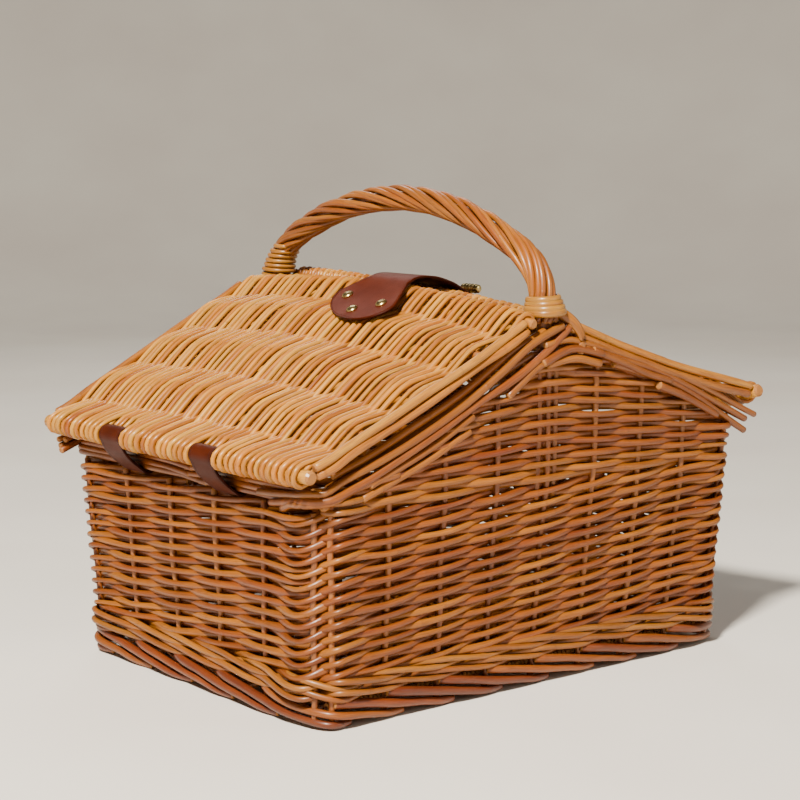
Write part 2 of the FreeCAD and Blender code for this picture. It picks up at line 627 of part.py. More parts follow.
def make_turn_lock():
    """Brass plate, its tacks and the turning toggle on the right lid."""
    lock = LID_LENGTH - LOCK_S
    length, width, thickness = LOCK_PLATE
    half_straight = (length - width) / 2
    plate = box_between(Vector(lock - width / 2, -half_straight, HALF_LID),
                        Vector(lock + width / 2, half_straight, HALF_LID + thickness))
    for y in (-half_straight, half_straight):
        plate = plate.fuse(Part.makeCylinder(width / 2, thickness, Vector(lock, y, HALF_LID)))
    plate_top = HALF_LID + thickness
    tacks = [rod(Vector(s, y, -HALF_LID), Vector(s, y, plate_top), LOCK_TACK_RADIUS)
             for s, y in tack_places()]
    plate = plate.cut(Part.makeCompound(tacks)).removeSplitter()
    stem = rod(Vector(lock, 0, plate_top + 0.3), Vector(lock, 0, LOCK_BARREL_N), LOCK_STEM_RADIUS)
    half_barrel = LOCK_BARREL_LENGTH / 2
    barrel = lid_bar(lock, LOCK_BARREL_N, -half_barrel, half_barrel, LOCK_BARREL_RADIUS)
    for t in spread(LOCK_GROOVES):
        y = 0.72 * half_barrel * t - LOCK_GROOVE_WIDTH / 2
        ring = lid_bar(lock, LOCK_BARREL_N, y, y + LOCK_GROOVE_WIDTH, LOCK_BARREL_RADIUS + 1.0)
        core = lid_bar(lock, LOCK_BARREL_N, y, y + LOCK_GROOVE_WIDTH,
                       LOCK_BARREL_RADIUS - LOCK_GROOVE_DEPTH)
        barrel = barrel.cut(ring.cut(core))
    save("turnlock_plate", onto_lid(plate))
    save("turnlock_tacks", *[onto_lid(tack) for tack in tacks])
    save("turnlock_toggle", onto_lid(stem.fuse(barrel).removeSplitter()))


def main():
    os.makedirs("parts", exist_ok=True)
    make_base()
    make_walls()
    make_eave_borders()
    make_gable_borders()
    make_handle()
    make_lids()
    make_hinge_straps()
    make_closing_strap_base()
    make_closing_strap_flap()
    make_turn_lock()


main()
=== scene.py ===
"""The looks of the wicker picnic basket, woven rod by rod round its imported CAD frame.

Lengths are millimetres here, and become metres when a mesh is made. X runs across the ridge, Y along
it and Z up; the left side is -X and the front gable is -Y, as in the CAD.
"""

import math

import bpy
import numpy as np
from mathutils import Matrix, Vector


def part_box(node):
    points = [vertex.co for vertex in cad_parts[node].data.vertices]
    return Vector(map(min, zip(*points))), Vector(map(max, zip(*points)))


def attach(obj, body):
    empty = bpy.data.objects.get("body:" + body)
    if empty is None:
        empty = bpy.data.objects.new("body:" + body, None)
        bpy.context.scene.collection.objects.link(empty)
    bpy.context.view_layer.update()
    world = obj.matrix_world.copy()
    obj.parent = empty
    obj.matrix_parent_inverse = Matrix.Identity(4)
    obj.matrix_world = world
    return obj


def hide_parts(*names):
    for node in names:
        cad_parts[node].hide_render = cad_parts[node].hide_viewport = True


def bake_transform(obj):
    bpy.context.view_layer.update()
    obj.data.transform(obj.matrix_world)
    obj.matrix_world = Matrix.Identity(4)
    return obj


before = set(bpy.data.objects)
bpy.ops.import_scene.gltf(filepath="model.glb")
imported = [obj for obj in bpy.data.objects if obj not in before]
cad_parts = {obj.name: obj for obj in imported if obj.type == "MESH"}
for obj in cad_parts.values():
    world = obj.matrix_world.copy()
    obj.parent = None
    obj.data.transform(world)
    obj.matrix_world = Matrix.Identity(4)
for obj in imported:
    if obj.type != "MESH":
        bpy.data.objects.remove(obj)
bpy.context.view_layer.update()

MM = 0.001
UP = (0, 0, 1)
ALONG_Y = (0, 1, 0)


def cad_box(node):
    """Lowest and highest corner of a CAD node, in millimetres."""
    low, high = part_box(node)
    return np.array(low) / MM, np.array(high) / MM


# ---- sizes read from the frame --------------------------------------------------------------------
FOOT_TOP = cad_box("foot_border_right")[1]
WEAVE_TOP = cad_box("wall_weave_right")[1]
GABLE_TOP = cad_box("wall_weave_back")[1]
WALE_TOP = cad_box("lower_wale_right")[1][2]
FOOT_PROUD = 2.5                # of the foot border, beyond the weave
FLARE = (WEAVE_TOP[:2] - FOOT_TOP[:2] + FOOT_PROUD) / (WEAVE_TOP[2] - FOOT_TOP[2])
GABLE_SLOPE = (GABLE_TOP[2] - WEAVE_TOP[2]) / WEAVE_TOP[0]
EAVE_STAKES = 6
GABLE_STAKES = 9
STAKES = 2 * (EAVE_STAKES + GABLE_STAKES)
STAKE_INSET = 6.0               # from the weave's outer face to the stakes' middle
CORNER_INSET = 14.0
STAKE_RADIUS = 2.3

EDGE_BOX = cad_box("lid_right_edge_rod")
RIDGE_BOX = cad_box("lid_right_ridge_rod")
EDGE_AXIS = (EDGE_BOX[0] + EDGE_BOX[1]) / 2
RIDGE_AXIS = (RIDGE_BOX[0] + RIDGE_BOX[1]) / 2
EDGE_ROD_RADIUS = (EDGE_BOX[1][2] - EDGE_BOX[0][2]) / 2
RIDGE_ROD_RADIUS = (RIDGE_BOX[1][2] - RIDGE_BOX[0][2]) / 2
LID_RUN = EDGE_AXIS[0] - RIDGE_AXIS[0]
LID_RISE = RIDGE_AXIS[2] - EDGE_AXIS[2]
LID_LENGTH = math.hypot(LID_RUN, LID_RISE)
LID_UP_SLOPE = np.array([-LID_RUN, LID_RISE]) / LID_LENGTH
LID_OUT = np.array([LID_RISE, LID_RUN]) / LID_LENGTH
HINGE_Y = [float(np.mean([corner[1] for corner in cad_box("hinge_strap_right_" + place)]))
           for place in ("back", "front")]


def half_length(z):
    """Half the tub's length at a height."""
    return WEAVE_TOP[0] + FLARE[0] * (z - WEAVE_TOP[2])


def half_width(z):
    """Half the tub's width at a height."""
    return WEAVE_TOP[1] + FLARE[1] * (z - WEAVE_TOP[2])


# ---- lines ------------------------------------------------------------------------------------------
def smooth(points, step=4.0):
    """Even points along a smooth curve through the given ones. Columns after x, y and z go along."""
    points = np.asarray(points, float)
    along = np.concatenate([[0.0], np.cumsum(np.linalg.norm(np.diff(points[:, :3], axis=0), axis=1))])
    slope = np.gradient(points, along, axis=0)
    s = np.linspace(0, along[-1], max(2, round(along[-1] / step) + 1))
    i = np.clip(np.searchsorted(along, s, side="right") - 1, 0, len(along) - 2)
    h = (along[i + 1] - along[i])[:, None]
    u = (s - along[i])[:, None] / h
    return ((2 * u ** 3 - 3 * u ** 2 + 1) * points[i] + (u ** 3 - 2 * u ** 2 + u) * h * slope[i]
            + (3 * u ** 2 - 2 * u ** 3) * points[i + 1] + (u ** 3 - u ** 2) * h * slope[i + 1])


def stretched(values, count):
    """Columns of a few values, drawn out evenly over count rows."""
    rows = np.linspace(0, len(values) - 1, count)
    return np.stack([np.interp(rows, np.arange(len(values)), column) for column in values.T], axis=1)


def unit(vectors):
    return vectors / np.linalg.norm(vectors, axis=-1, keepdims=True)


def strip_places(sizes):
    """Packs long strips side by side into a square: each one's corner, and the square's side."""
    order = sorted(range(len(sizes)), key=lambda i: -sizes[i][0])
    side = max(sizes[order[0]][0], math.sqrt(sum(length * girth for length, girth in sizes)))
    while True:
        places = {}
        x = y = row = 0.0
        for i in order:
            length, girth = sizes[i]
            if x + length > side:
                x, y, row = 0.0, y + row, 0.0
            places[i] = (x, y)
            x += length
            row = max(row, girth)
        if y + row <= side:
            return places, side
        side *= 1.02


# ---- rods --------------------------------------------------------------------------------------------
STRIP_GAP = 1.5                 # between the rods' strips in the texture layout
CHAMFER = 0.35                  # of a cut end, in rod radii


class Rods:
    """The willow rods of one piece. Each is a tube along its own line, with slightly chamfered cut ends.

    The mesh carries what the wicker material reads: grain is a place in the rod's own wood, tone is
    three random values for the rod, and cut marks the faces of a cut end.
    """

    def __init__(self, name, sides=8):
        self.name = name
        self.sides = sides
        self.random = np.random.default_rng(sum(ord(letter) * (i + 1) for i, letter in enumerate(name)))
        self.points, self.grain, self.tone = [], [], []
        self.faces, self.cut, self.strips = [], [], []
        self.size = 0

    def add(self, line, radius, across=UP, flat=(1.0, 1.0), taper=0.0, wander=0.25, tone=None):
        """One rod. The line never runs along across; flat squashes it sideways and upwards."""
        line = np.asarray(line, float)
        steps = np.linalg.norm(np.diff(line, axis=0), axis=1)
        length = float(steps.sum())
        knots = max(2, int(length / 35) + 2)
        line = line + stretched(self.random.normal(0, wander, (knots, 3)), len(line))
        swell = 1 + stretched(self.random.normal(0, 0.045, (knots, 1)), len(line))[:, 0]
        radii = radius * swell * (1 + taper * np.linspace(0.5, -0.5, len(line)))
        run = unit(np.gradient(line, axis=0))
        line = np.vstack([line[0] - run[0] * radii[0] * CHAMFER, line,
                          line[-1] + run[-1] * radii[-1] * CHAMFER])
        run = np.vstack([run[0], run, run[-1]])
        radii = np.concatenate([[radii[0] * 0.7], radii, [radii[-1] * 0.7]])
        side = unit(np.cross(np.asarray(across, float), run))
        up = np.cross(run, side)
        angles = np.arange(self.sides) * 2 * math.pi / self.sides
        round_side, round_up = np.cos(angles) * flat[0], np.sin(angles) * flat[1]
        rings = line[:, None] + radii[:, None, None] * (round_side[:, None] * side[:, None]
                                                        + round_up[:, None] * up[:, None])
        along = np.concatenate([[0.0], np.cumsum(np.linalg.norm(np.diff(line, axis=0), axis=1))])
        wood = np.stack([np.broadcast_to(np.cos(angles), rings.shape[:2]) * radii[:, None],
                         np.broadcast_to(np.sin(angles), rings.shape[:2]) * radii[:, None],
                         np.broadcast_to(along[:, None], rings.shape[:2])], axis=2)
        start = self.random.uniform(0, 500, 3)
        ends = np.stack([line[0], line[-1]])
        end_wood = np.array([[0, 0, 0], [0, 0, along[-1]]])
        self.points.append(np.vstack([rings.reshape(-1, 3), ends]))
        self.grain.append(np.vstack([wood.reshape(-1, 3), end_wood]) + start)
        drawn = self.random.uniform(0, 1, 3)
        if tone is not None:
            drawn[0] = tone
        self.tone.append(np.broadcast_to(drawn, (rings.shape[0] * self.sides + 2, 3)))
        self.join(len(line), along, radii)

    def join(self, count, along, radii):
        """Faces of the rod just added, and their places on its strip."""
        sides, first = self.sides, self.size
        j = np.arange(sides)
        k = (j + 1) % sides
        i = np.arange(count - 1)[:, None] * sides
        quads = np.stack([first + i + j, first + i + k,
                          first + i + sides + k, first + i + sides + j], axis=2)
        centre = first + count * sides
        last = first + (count - 1) * sides
        caps = [(centre, first + b, first + a) for a, b in zip(j, k)]
        caps += [(centre + 1, last + a, last + b) for a, b in zip(j, k)]
        self.faces += quads.reshape(-1, 4).tolist() + caps
        cut = np.zeros((count - 1, sides))
        cut[[0, -1]] = 1.0
        self.cut.append(np.concatenate([cut.ravel(), np.ones(2 * sides)]))
        girth = 2 * math.pi * float(radii.max())
        start, end = radii[0], along[-1] + 2 * radii[0]
        u = along + radii[0]
        v = np.arange(sides + 1) / sides * girth
        corner_u = np.stack([u[:-1], u[:-1], u[1:], u[1:]], axis=1)[:, None] + np.zeros((1, sides, 1))
        corner_v = np.stack([v[:-1], v[1:], v[1:], v[:-1]], axis=1)[None] + np.zeros((count - 1, 1, 1))
        strip = [np.stack([corner_u.ravel(), corner_v.ravel()], axis=1)]
        middle = (v[:-1] + v[1:]) / 2
        zero = 0 * middle
        low = np.stack([zero, middle, start + zero, v[1:], start + zero, v[:-1]], axis=1)
        high = np.stack([end + zero, middle, u[-1] + zero, v[:-1], u[-1] + zero, v[1:]], axis=1)
        strip += [low.reshape(-1, 2), high.reshape(-1, 2)]
        self.strips.append((end + STRIP_GAP, girth + STRIP_GAP, np.vstack(strip)))
        self.size += count * sides + 2

    def piece(self, material, slot, body, *nodes):
        """Makes the object, which rides on a body and stands for some CAD nodes."""
        mesh = bpy.data.meshes.new(self.name)
        mesh.from_pydata((np.vstack(self.points) * MM).tolist(), [], self.faces)
        for name, values in (("grain", self.grain), ("tone", self.tone)):
            layer = mesh.attributes.new(name, "FLOAT_VECTOR", "POINT")
            layer.data.foreach_set("vector", np.vstack(values).astype(np.float32).ravel())
        cut = np.concatenate(self.cut)
        mesh.attributes.new("cut", "FLOAT", "FACE").data.foreach_set("value", cut.astype(np.float32))
        mesh.polygons.foreach_set("use_smooth", cut < 0.5)
        places, side = strip_places([(length, girth) for length, girth, _ in self.strips])
        strips = [strip + places[i] for i, (_, _, strip) in enumerate(self.strips)]
        layer = mesh.uv_layers.new(name="OFBake")
        layer.data.foreach_set("uv", (np.vstack(strips) / side).astype(np.float32).ravel())
        mesh.materials.append(material)
        mesh.update()
        return placed(mesh, slot, body, *nodes)


def placed(mesh, slot, body, *nodes):
    """Object of a mesh, riding on a body and in the place of some CAD nodes. The slot is not used."""
    piece = bpy.data.objects.new(mesh.name, mesh)
    bpy.context.scene.collection.objects.link(piece)
    if body:
        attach(piece, body)
    if nodes:
        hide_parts(*nodes)
    return piece


# ---- materials -------------------------------------------------------------------------------------
class Nodes:
    """A material's node tree, filled by short calls."""

    def __init__(self, name):
        self.material = bpy.data.materials.new(name)
        self.material.use_nodes = True
        self.tree = self.material.node_tree
        self.tree.nodes.clear()
        self.shader = self.node("ShaderNodeBsdfPrincipled")
        output = self.node("ShaderNodeOutputMaterial")
        self.tree.links.new(self.shader.outputs["BSDF"], output.inputs["Surface"])

    def node(self, kind, settings=None, **inputs):
        """A node with settings, and inputs that are values or other nodes' outputs."""
        node = self.tree.nodes.new(kind)
        for key, value in (settings or {}).items():
            setattr(node, key, value)
        for key, value in inputs.items():
            self.feed(node, key, value)
        return node

    def feed(self, node, key, value):
        socket = node.inputs[int(key[1:])] if key[0] == "i" and key[1:].isdigit() else node.inputs[key]
        if isinstance(value, bpy.types.NodeSocket):
            self.tree.links.new(value, socket)
        else:
            socket.default_value = value

    def math(self, operation, *values):
        node = self.tree.nodes.new("ShaderNodeMath")
        node.operation = operation
        for i, value in enumerate(values):
            self.feed(node, f"i{i}", value)
        return node.outputs[0]

    def attribute(self, name):
        return self.node("ShaderNodeAttribute", {"attribute_name": name})

    def scaled(self, vector, scale):
        node = self.node("ShaderNodeVectorMath", {"operation": "MULTIPLY"}, i0=vector, i1=scale)
        return node.outputs["Vector"]

    def noise(self, vector, scale, detail=3.0, roughness=0.5):
        return self.node("ShaderNodeTexNoise", Vector=vector, Scale=scale, Detail=detail,
                         Roughness=roughness).outputs["Fac"]

    def ramp(self, value, *stops):
        """Colour ramp through (position, colour or grey) stops."""
        node = self.node("ShaderNodeValToRGB", Fac=value)
        elements = node.color_ramp.elements
        while len(elements) < len(stops):
            elements.new(0.5)
        for element, (position, colour) in zip(elements, stops):
            element.position = position
            element.color = (*colour, 1) if isinstance(colour, tuple) else (colour, colour, colour, 1)
        return node.outputs["Color"]

    def mix(self, amount, first, second, blend="MIX"):
        node = self.node("ShaderNodeMix", {"data_type": "RGBA", "blend_type": blend}, i0=amount)
        self.feed(node, "i6", (*first, 1) if isinstance(first, tuple) else first)
        self.feed(node, "i7", (*second, 1) if isinstance(second, tuple) else second)
        return node.outputs[2]

    def bump(self, height, strength, distance, after=None):
        node = self.node("ShaderNodeBump", Height=height, Strength=strength, Distance=distance)
        if after is not None:
            self.feed(node, "Normal", after)
        return node.outputs["Normal"]


def linear(red, green, blue):
    """Linear colour of a screen colour given from 0 to 1."""
    return tuple(c / 12.92 if c <= 0.04045 else ((c + 0.055) / 1.055) ** 2.4 for c in (red, green, blue))


def wicker(name, pale, middle, red, gloss=0.36):
    """Varnished peeled willow: long fibres, drifting colour, leaf scars and pale cut ends."""
    nodes = Nodes(name)
    grain = nodes.attribute("grain").outputs["Vector"]
    tone = nodes.node("ShaderNodeSeparateXYZ", Vector=nodes.attribute("tone").outputs["Vector"])
    cut = nodes.attribute("cut").outputs["Fac"]
    fibres = nodes.noise(nodes.scaled(grain, (1.0, 1.0, 0.045)), 1.7, 4.0, 0.6)
    drift = nodes.noise(nodes.scaled(grain, (0.25, 0.25, 0.02)), 1.0, 2.0)
    specks = nodes.noise(nodes.scaled(grain, (1.0, 1.0, 0.5)), 1.1, 2.0, 0.6)
    share = nodes.math("ADD", nodes.math("MULTIPLY", tone.outputs["X"], 0.6),
                       nodes.math("MULTIPLY", nodes.math("SUBTRACT", drift, 0.5), 0.9))
    share = nodes.math("ADD", share, 0.12)
    colour = nodes.ramp(share, (0.08, pale), (0.5, middle), (0.95, red))
    streaks = nodes.ramp(fibres, (0.30, 0.58), (0.55, 0.98), (0.75, 1.12))
    colour = nodes.mix(1.0, colour, streaks, "MULTIPLY")
    shade = nodes.ramp(tone.outputs["Y"], (0.0, 0.72), (1.0, 1.0))
    colour = nodes.mix(1.0, colour, shade, "MULTIPLY")
    colour = nodes.mix(nodes.ramp(specks, (0.66, 0.0), (0.74, 0.6)), colour, linear(0.42, 0.24, 0.12))
    place = nodes.node("ShaderNodeSeparateXYZ", Vector=grain).outputs["Z"]
    scar_line = nodes.node("ShaderNodeTexVoronoi", {"voronoi_dimensions": "1D"}, W=place, Scale=0.012)
    scar = nodes.ramp(scar_line.outputs["Distance"], (0.0, 1.0), (0.011, 0.75), (0.018, 0.0))
    patchy = nodes.ramp(nodes.noise(grain, 0.35, 1.0), (0.42, 0.15), (0.56, 1.0))
    scar = nodes.math("MULTIPLY", scar, patchy)
    colour = nodes.mix(nodes.math("MULTIPLY", scar, 0.28), colour, linear(0.36, 0.19, 0.09))
    end_colour = nodes.mix(fibres, linear(0.66, 0.44, 0.20), linear(0.48, 0.28, 0.10))
    colour = nodes.mix(cut, colour, end_colour)
    nodes.feed(nodes.shader, "Base Color", colour)
    rough = nodes.ramp(fibres, (0.3, gloss + 0.16), (0.7, gloss))
    nodes.feed(nodes.shader, "Roughness", nodes.mix(cut, rough, (0.85, 0.85, 0.85)))
    surface = nodes.bump(fibres, 0.35, 0.0003)
    nodes.feed(nodes.shader, "Normal", nodes.bump(scar, 0.4, 0.0004, surface))
    nodes.shader.inputs["Specular IOR Level"].default_value = 0.4
    nodes.shader.inputs["Coat Weight"].default_value = 0.2
    nodes.shader.inputs["Coat Roughness"].default_value = 0.2
    return nodes.material


def leather(name, light, dark):
    """Smooth veg-tanned strap leather with a creased line near its edge and burnished edges."""
    nodes = Nodes(name)
    place = nodes.node("ShaderNodeTexCoord").outputs["Object"]
    edge = nodes.attribute("edge").outputs["Fac"]
    cloud = nodes.noise(place, 45.0, 4.0, 0.6)
    pores = nodes.node("ShaderNodeTexVoronoi", Vector=place, Scale=1500.0).outputs["Distance"]
    grain = nodes.noise(place, 900.0, 3.0, 0.6)
    colour = nodes.ramp(cloud, (0.3, dark), (0.7, light))
    colour = nodes.mix(nodes.ramp(pores, (0.0, 0.35), (0.35, 0.0)), colour, dark)
    burnish = nodes.ramp(edge, (0.0, 1.0), (0.06, 0.75), (0.13, 0.0))
    crease = nodes.ramp(edge, (0.235, 0.0), (0.26, 1.0), (0.285, 1.0), (0.31, 0.0))
    darkest = tuple(c * 0.35 for c in dark)
    colour = nodes.mix(nodes.math("MULTIPLY", burnish, 0.8), colour, darkest)
    colour = nodes.mix(nodes.math("MULTIPLY", crease, 0.6), colour, darkest)
    nodes.feed(nodes.shader, "Base Color", colour)
    nodes.feed(nodes.shader, "Roughness", nodes.ramp(cloud, (0.3, 0.50), (0.7, 0.40)))
    surface = nodes.bump(nodes.math("ADD", grain, nodes.math("MULTIPLY", pores, 0.6)), 0.25, 0.0002)
    lowered = nodes.math("SUBTRACT", 1.0, crease)
    nodes.feed(nodes.shader, "Normal", nodes.bump(lowered, 0.8, 0.0005, surface))
    nodes.shader.inputs["Specular IOR Level"].default_value = 0.08
    return nodes.material


def brass(name):
    """Bright brass with fine scratches and a little tarnish."""
    nodes = Nodes(name)
    place = nodes.node("ShaderNodeTexCoord").outputs["Object"]
    tarnish = nodes.noise(place, 260.0, 4.0, 0.65)
    scratches = nodes.noise(nodes.scaled(place, (1.0, 9.0, 9.0)), 500.0, 2.0, 0.7)
    colour = nodes.ramp(tarnish, (0.35, linear(0.60, 0.50, 0.30)), (0.6, linear(0.86, 0.76, 0.50)))
    nodes.feed(nodes.shader, "Base Color", colour)
    nodes.feed(nodes.shader, "Roughness", nodes.ramp(tarnish, (0.35, 0.36), (0.65, 0.20)))
    nodes.feed(nodes.shader, "Normal", nodes.bump(scratches, 0.08, 0.0001))
    nodes.shader.inputs["Metallic"].default_value = 1.0
    return nodes.material


WICKER_WALL = wicker("wicker_wall_finish",
                     linear(0.60, 0.35, 0.06), linear(0.53, 0.27, 0.03), linear(0.43, 0.17, 0.02))
WICKER_FOOT = wicker("wicker_foot_finish",
                     linear(0.55, 0.29, 0.06), linear(0.47, 0.21, 0.04), linear(0.37, 0.135, 0.02))
WICKER_WALE = wicker("wicker_wale_finish",
                     linear(0.60, 0.37, 0.09), linear(0.52, 0.28, 0.05), linear(0.42, 0.18, 0.03))
WICKER_LID = wicker("wicker_lid_finish",
                    linear(0.82, 0.58, 0.20), linear(0.72, 0.44, 0.10), linear(0.52, 0.24, 0.04))
WICKER_STAKE = wicker("wicker_stake_finish",
                      linear(0.66, 0.41, 0.17), linear(0.58, 0.32, 0.11), linear(0.48, 0.23, 0.07))
WICKER_HANDLE = wicker("wicker_handle_finish",
                       linear(0.64, 0.40, 0.11), linear(0.54, 0.28, 0.05), linear(0.43, 0.18, 0.03))
CANE = wicker("cane_finish",
              linear(0.71, 0.49, 0.17), linear(0.63, 0.38, 0.10), linear(0.52, 0.27, 0.06), 0.28)
LEATHER_TAN = leather("leather_tan_finish", linear(0.31, 0.095, 0.0), linear(0.25, 0.065, 0.0))
LEATHER_DARK = leather("leather_dark_finish", linear(0.27, 0.095, 0.03), linear(0.21, 0.065, 0.02))
BRASS = brass("brass_finish")


# ---- tub ---------------------------------------------------------------------------------------------
BULGE = 5.0                     # of the gables' weave, outwards, at the middle of the rim
# The walls and their stakes, counted counter-clockwise from the far left corner.
WALLS = (("left", range(0, 6)), ("front", range(6, 15)), ("right", range(15, 21)), ("back", range(21, 30)))
# Rise of the front gable's edge over its straight slopes, at places from left to right.
FRONT_EDGE_X = (-200, -170, -110, -40, 0, 50, 120, 175, 205)
FRONT_EDGE_RISE = (4, -3, -11, -13, -6, 7, 17, 19, 14)
STAKE_FOOT = 4.0                # height of the stakes' lower ends
STAKE_POINTS = 24


def wall_of(stake):
    """Name of the wall that a stake stands in."""
    return next(name for name, indices in WALLS if stake % STAKES in indices)


def stake_ring(z):
    """The stakes' places at height z, in the order of their numbers."""
    x, y = half_length(z), half_width(z)
    eave = np.linspace(-1, 1, EAVE_STAKES) * (y - CORNER_INSET)
    gable = np.linspace(-1, 1, GABLE_STAKES) * (x - CORNER_INSET)
    left = [(STAKE_INSET - x, -t) for t in eave]
    front = [(t, STAKE_INSET - y) for t in gable]
    right = [(x - STAKE_INSET, t) for t in eave]
    back = [(-t, y - STAKE_INSET) for t in gable]
    return np.array(left + front + right + back)


FOOT_RING = stake_ring(0.0)
RISE_RING = stake_ring(1.0) - FOOT_RING
OUTWARDS = np.array([(-1, 0)] * EAVE_STAKES + [(0, -1)] * GABLE_STAKES
                    + [(1, 0)] * EAVE_STAKES + [(0, 1)] * GABLE_STAKES, float)


def bulge(x, z):
    """How far a gable's weave stands out: most at the middle of the rim, none at the foot and apex."""
    upwards = np.clip((z - WALE_TOP) / (WEAVE_TOP[2] - WALE_TOP), 0, 1)
    downwards = np.clip((GABLE_TOP[2] - z) / (GABLE_TOP[2] - WEAVE_TOP[2]), 0, 1)
    return BULGE * (1 - (x / WEAVE_TOP[0]) ** 2) * upwards * downwards


def gable_edge(x, end):
    """Top edge of a gable's weave. The front one sags on its left slope and is built up on its right."""
    rise = np.interp(x, FRONT_EDGE_X, FRONT_EDGE_RISE) if end < 0 else 0.0
    return GABLE_TOP[2] - GABLE_SLOPE * np.abs(x) + rise


def around(place, z, offset=0.0):
    """Points beside the ring of stakes: place counts stakes round it, offset is outwards."""
    place, z, offset = np.broadcast_arrays(np.asarray(place, float), np.asarray(z, float), offset)
    i = np.floor(place).astype(int) % STAKES
    j = (i + 1) % STAKES
    f = (place - np.floor(place))[:, None]
    foot = FOOT_RING[i] * (1 - f) + FOOT_RING[j] * f
    rise = RISE_RING[i] * (1 - f) + RISE_RING[j] * f
    xy = foot + rise * z[:, None]
    out = unit(OUTWARDS[i] * (1 - f) + OUTWARDS[j] * f)
    out_by = offset + np.abs(out[:, 1]) * bulge(xy[:, 0], z)
    return np.column_stack([xy + out * out_by[:, None], z])


def make_stakes():
    """Upright stakes, those of the gables as tall as the gable over them, and two short ones at each apex."""
    for name, indices in WALLS:
        rods = Rods("stake_rods_" + name)
        gable = name in ("front", "back")
        across = (1, 0, 0) if gable else ALONG_Y
        for i in indices:
            top = gable_edge(FOOT_RING[i][0], OUTWARDS[i][1]) - 4 if gable else WEAVE_TOP[2] - 1
            z = np.linspace(STAKE_FOOT, top, STAKE_POINTS)
            rods.add(around(np.full(len(z), float(i)), z), STAKE_RADIUS, across, wander=0.5)
        if gable:
            middle = indices[GABLE_STAKES // 2]
            z = np.linspace(WEAVE_TOP[2] - 12, GABLE_TOP[2] - 12, 14)
            for shift in (-0.17, 0.16):
                rods.add(around(np.full(len(z), middle + shift), z, -1.0), STAKE_RADIUS, across, wander=0.5)
        rods.piece(WICKER_STAKE, "wicker_stake", "tub", "stakes_" + name)


WEAVE_FOOT = WALE_TOP - 4.5     # the wale sits down into the foot border by as much
ROW_PITCH = 4.25                # of the rods of the walls, one over the other at a stake
ROW_RADIUS = 2.7
GABLE_PITCH = 4.9               # of the stouter rows over the rim
GABLE_ROW_RADIUS = 2.85
GABLE_ARCH = 0.13               # slope of the topmost rows, down to both sides
GABLE_ARCH_FROM = 70.0          # over the rim, where a row arches in full
GABLE_CROWN = 25.0              # the arch is round about as far from its middle, then nearly straight
WEAVE_SWING = STAKE_RADIUS + 1.1    # of a rod's middle out of the stakes' ring
WEAVE_DEPTH = WEAVE_SWING + 1.2     # the same on the inside, where the rods are fatter
WALL_SPANS = (6, 8, 10, 12)     # stakes that one rod of the walls passes


def add_row(rods, line, swing, radius):
    """A rod of a wall row: line has its control points and swing how far out each is. It fattens inside."""
    line = smooth(np.column_stack([line, swing]))
    taper = rods.random.uniform(0.1, 0.35) * rods.random.choice([-1, 1])
    rods.add(line[:, :3], radius * (1 - 0.17 * line[:, 3] / WEAVE_SWING), taper=taper, wander=0.2)


def climbing_rod(rods, start, first, last, pitch, ends=0.3):
    """A rod of the walls: it rises by one pitch at every stake, and lies inside every other one."""
    levels = np.arange(first, last + 1)
    swing = np.where(levels % 2, -WEAVE_DEPTH, WEAVE_SWING)
    levels = np.concatenate([[first - ends], levels, [last + ends]])
    swing = np.concatenate([[-WEAVE_DEPTH - 1], swing, [-WEAVE_DEPTH - 1]])
    heights = WEAVE_FOOT + (levels + 0.5) * pitch + rods.random.normal(0, 0.2, len(levels))
    line = around(start + levels, np.minimum(heights, WEAVE_TOP[2] - 1), swing)
    add_row(rods, line, swing, ROW_RADIUS * rods.random.uniform(0.92, 1.08))


def gable_row(z_middle):
    """Height over x of a row over the rim, which arches more the higher it is."""
    share = np.clip((z_middle - WEAVE_TOP[2]) / GABLE_ARCH_FROM, 0, 1)
    arch = GABLE_ARCH * (0.1 + 0.9 * share)
    return lambda x: z_middle - arch * (np.sqrt(x ** 2 + GABLE_CROWN ** 2) - GABLE_CROWN)


def make_gable_rows(rods, indices, row):
    """Rows over the rim, each as long as the gable is wide there."""
    middle = indices[GABLE_STAKES // 2]
    end = OUTWARDS[middle][1]
    step = FOOT_RING[indices[5]][0] - FOOT_RING[indices[4]][0]
    z_middle = WEAVE_TOP[2] + 0.5 * GABLE_PITCH
    while z_middle < GABLE_TOP[2] - 7:
        height = gable_row(z_middle)
        x = np.linspace(-WEAVE_TOP[0] - 2, WEAVE_TOP[0] + 2, 600)
        inside = np.sort(x[gable_edge(x, end) + 1 > height(x)] / step)
        if len(inside) * (x[1] - x[0]) < 1.4 * abs(step):
            break
        start, stop = inside[0], inside[-1]
        inner = np.arange(math.ceil(start + 0.12), math.floor(stop - 0.12) + 1)
        swing = np.where((inner + middle + row) % 2, -WEAVE_SWING, WEAVE_SWING)
        places = np.concatenate([[start], inner, [stop]])
        swing = np.concatenate([[-0.5 * swing[0]], swing, [-0.5 * swing[-1]]])
        heights = height(places * step) + rods.random.normal(0, 0.5, len(places))
        add_row(rods, around(middle + places, heights, swing), swing,
                GABLE_ROW_RADIUS * rods.random.uniform(0.88, 1.1))
        z_middle += GABLE_PITCH
        row += 1


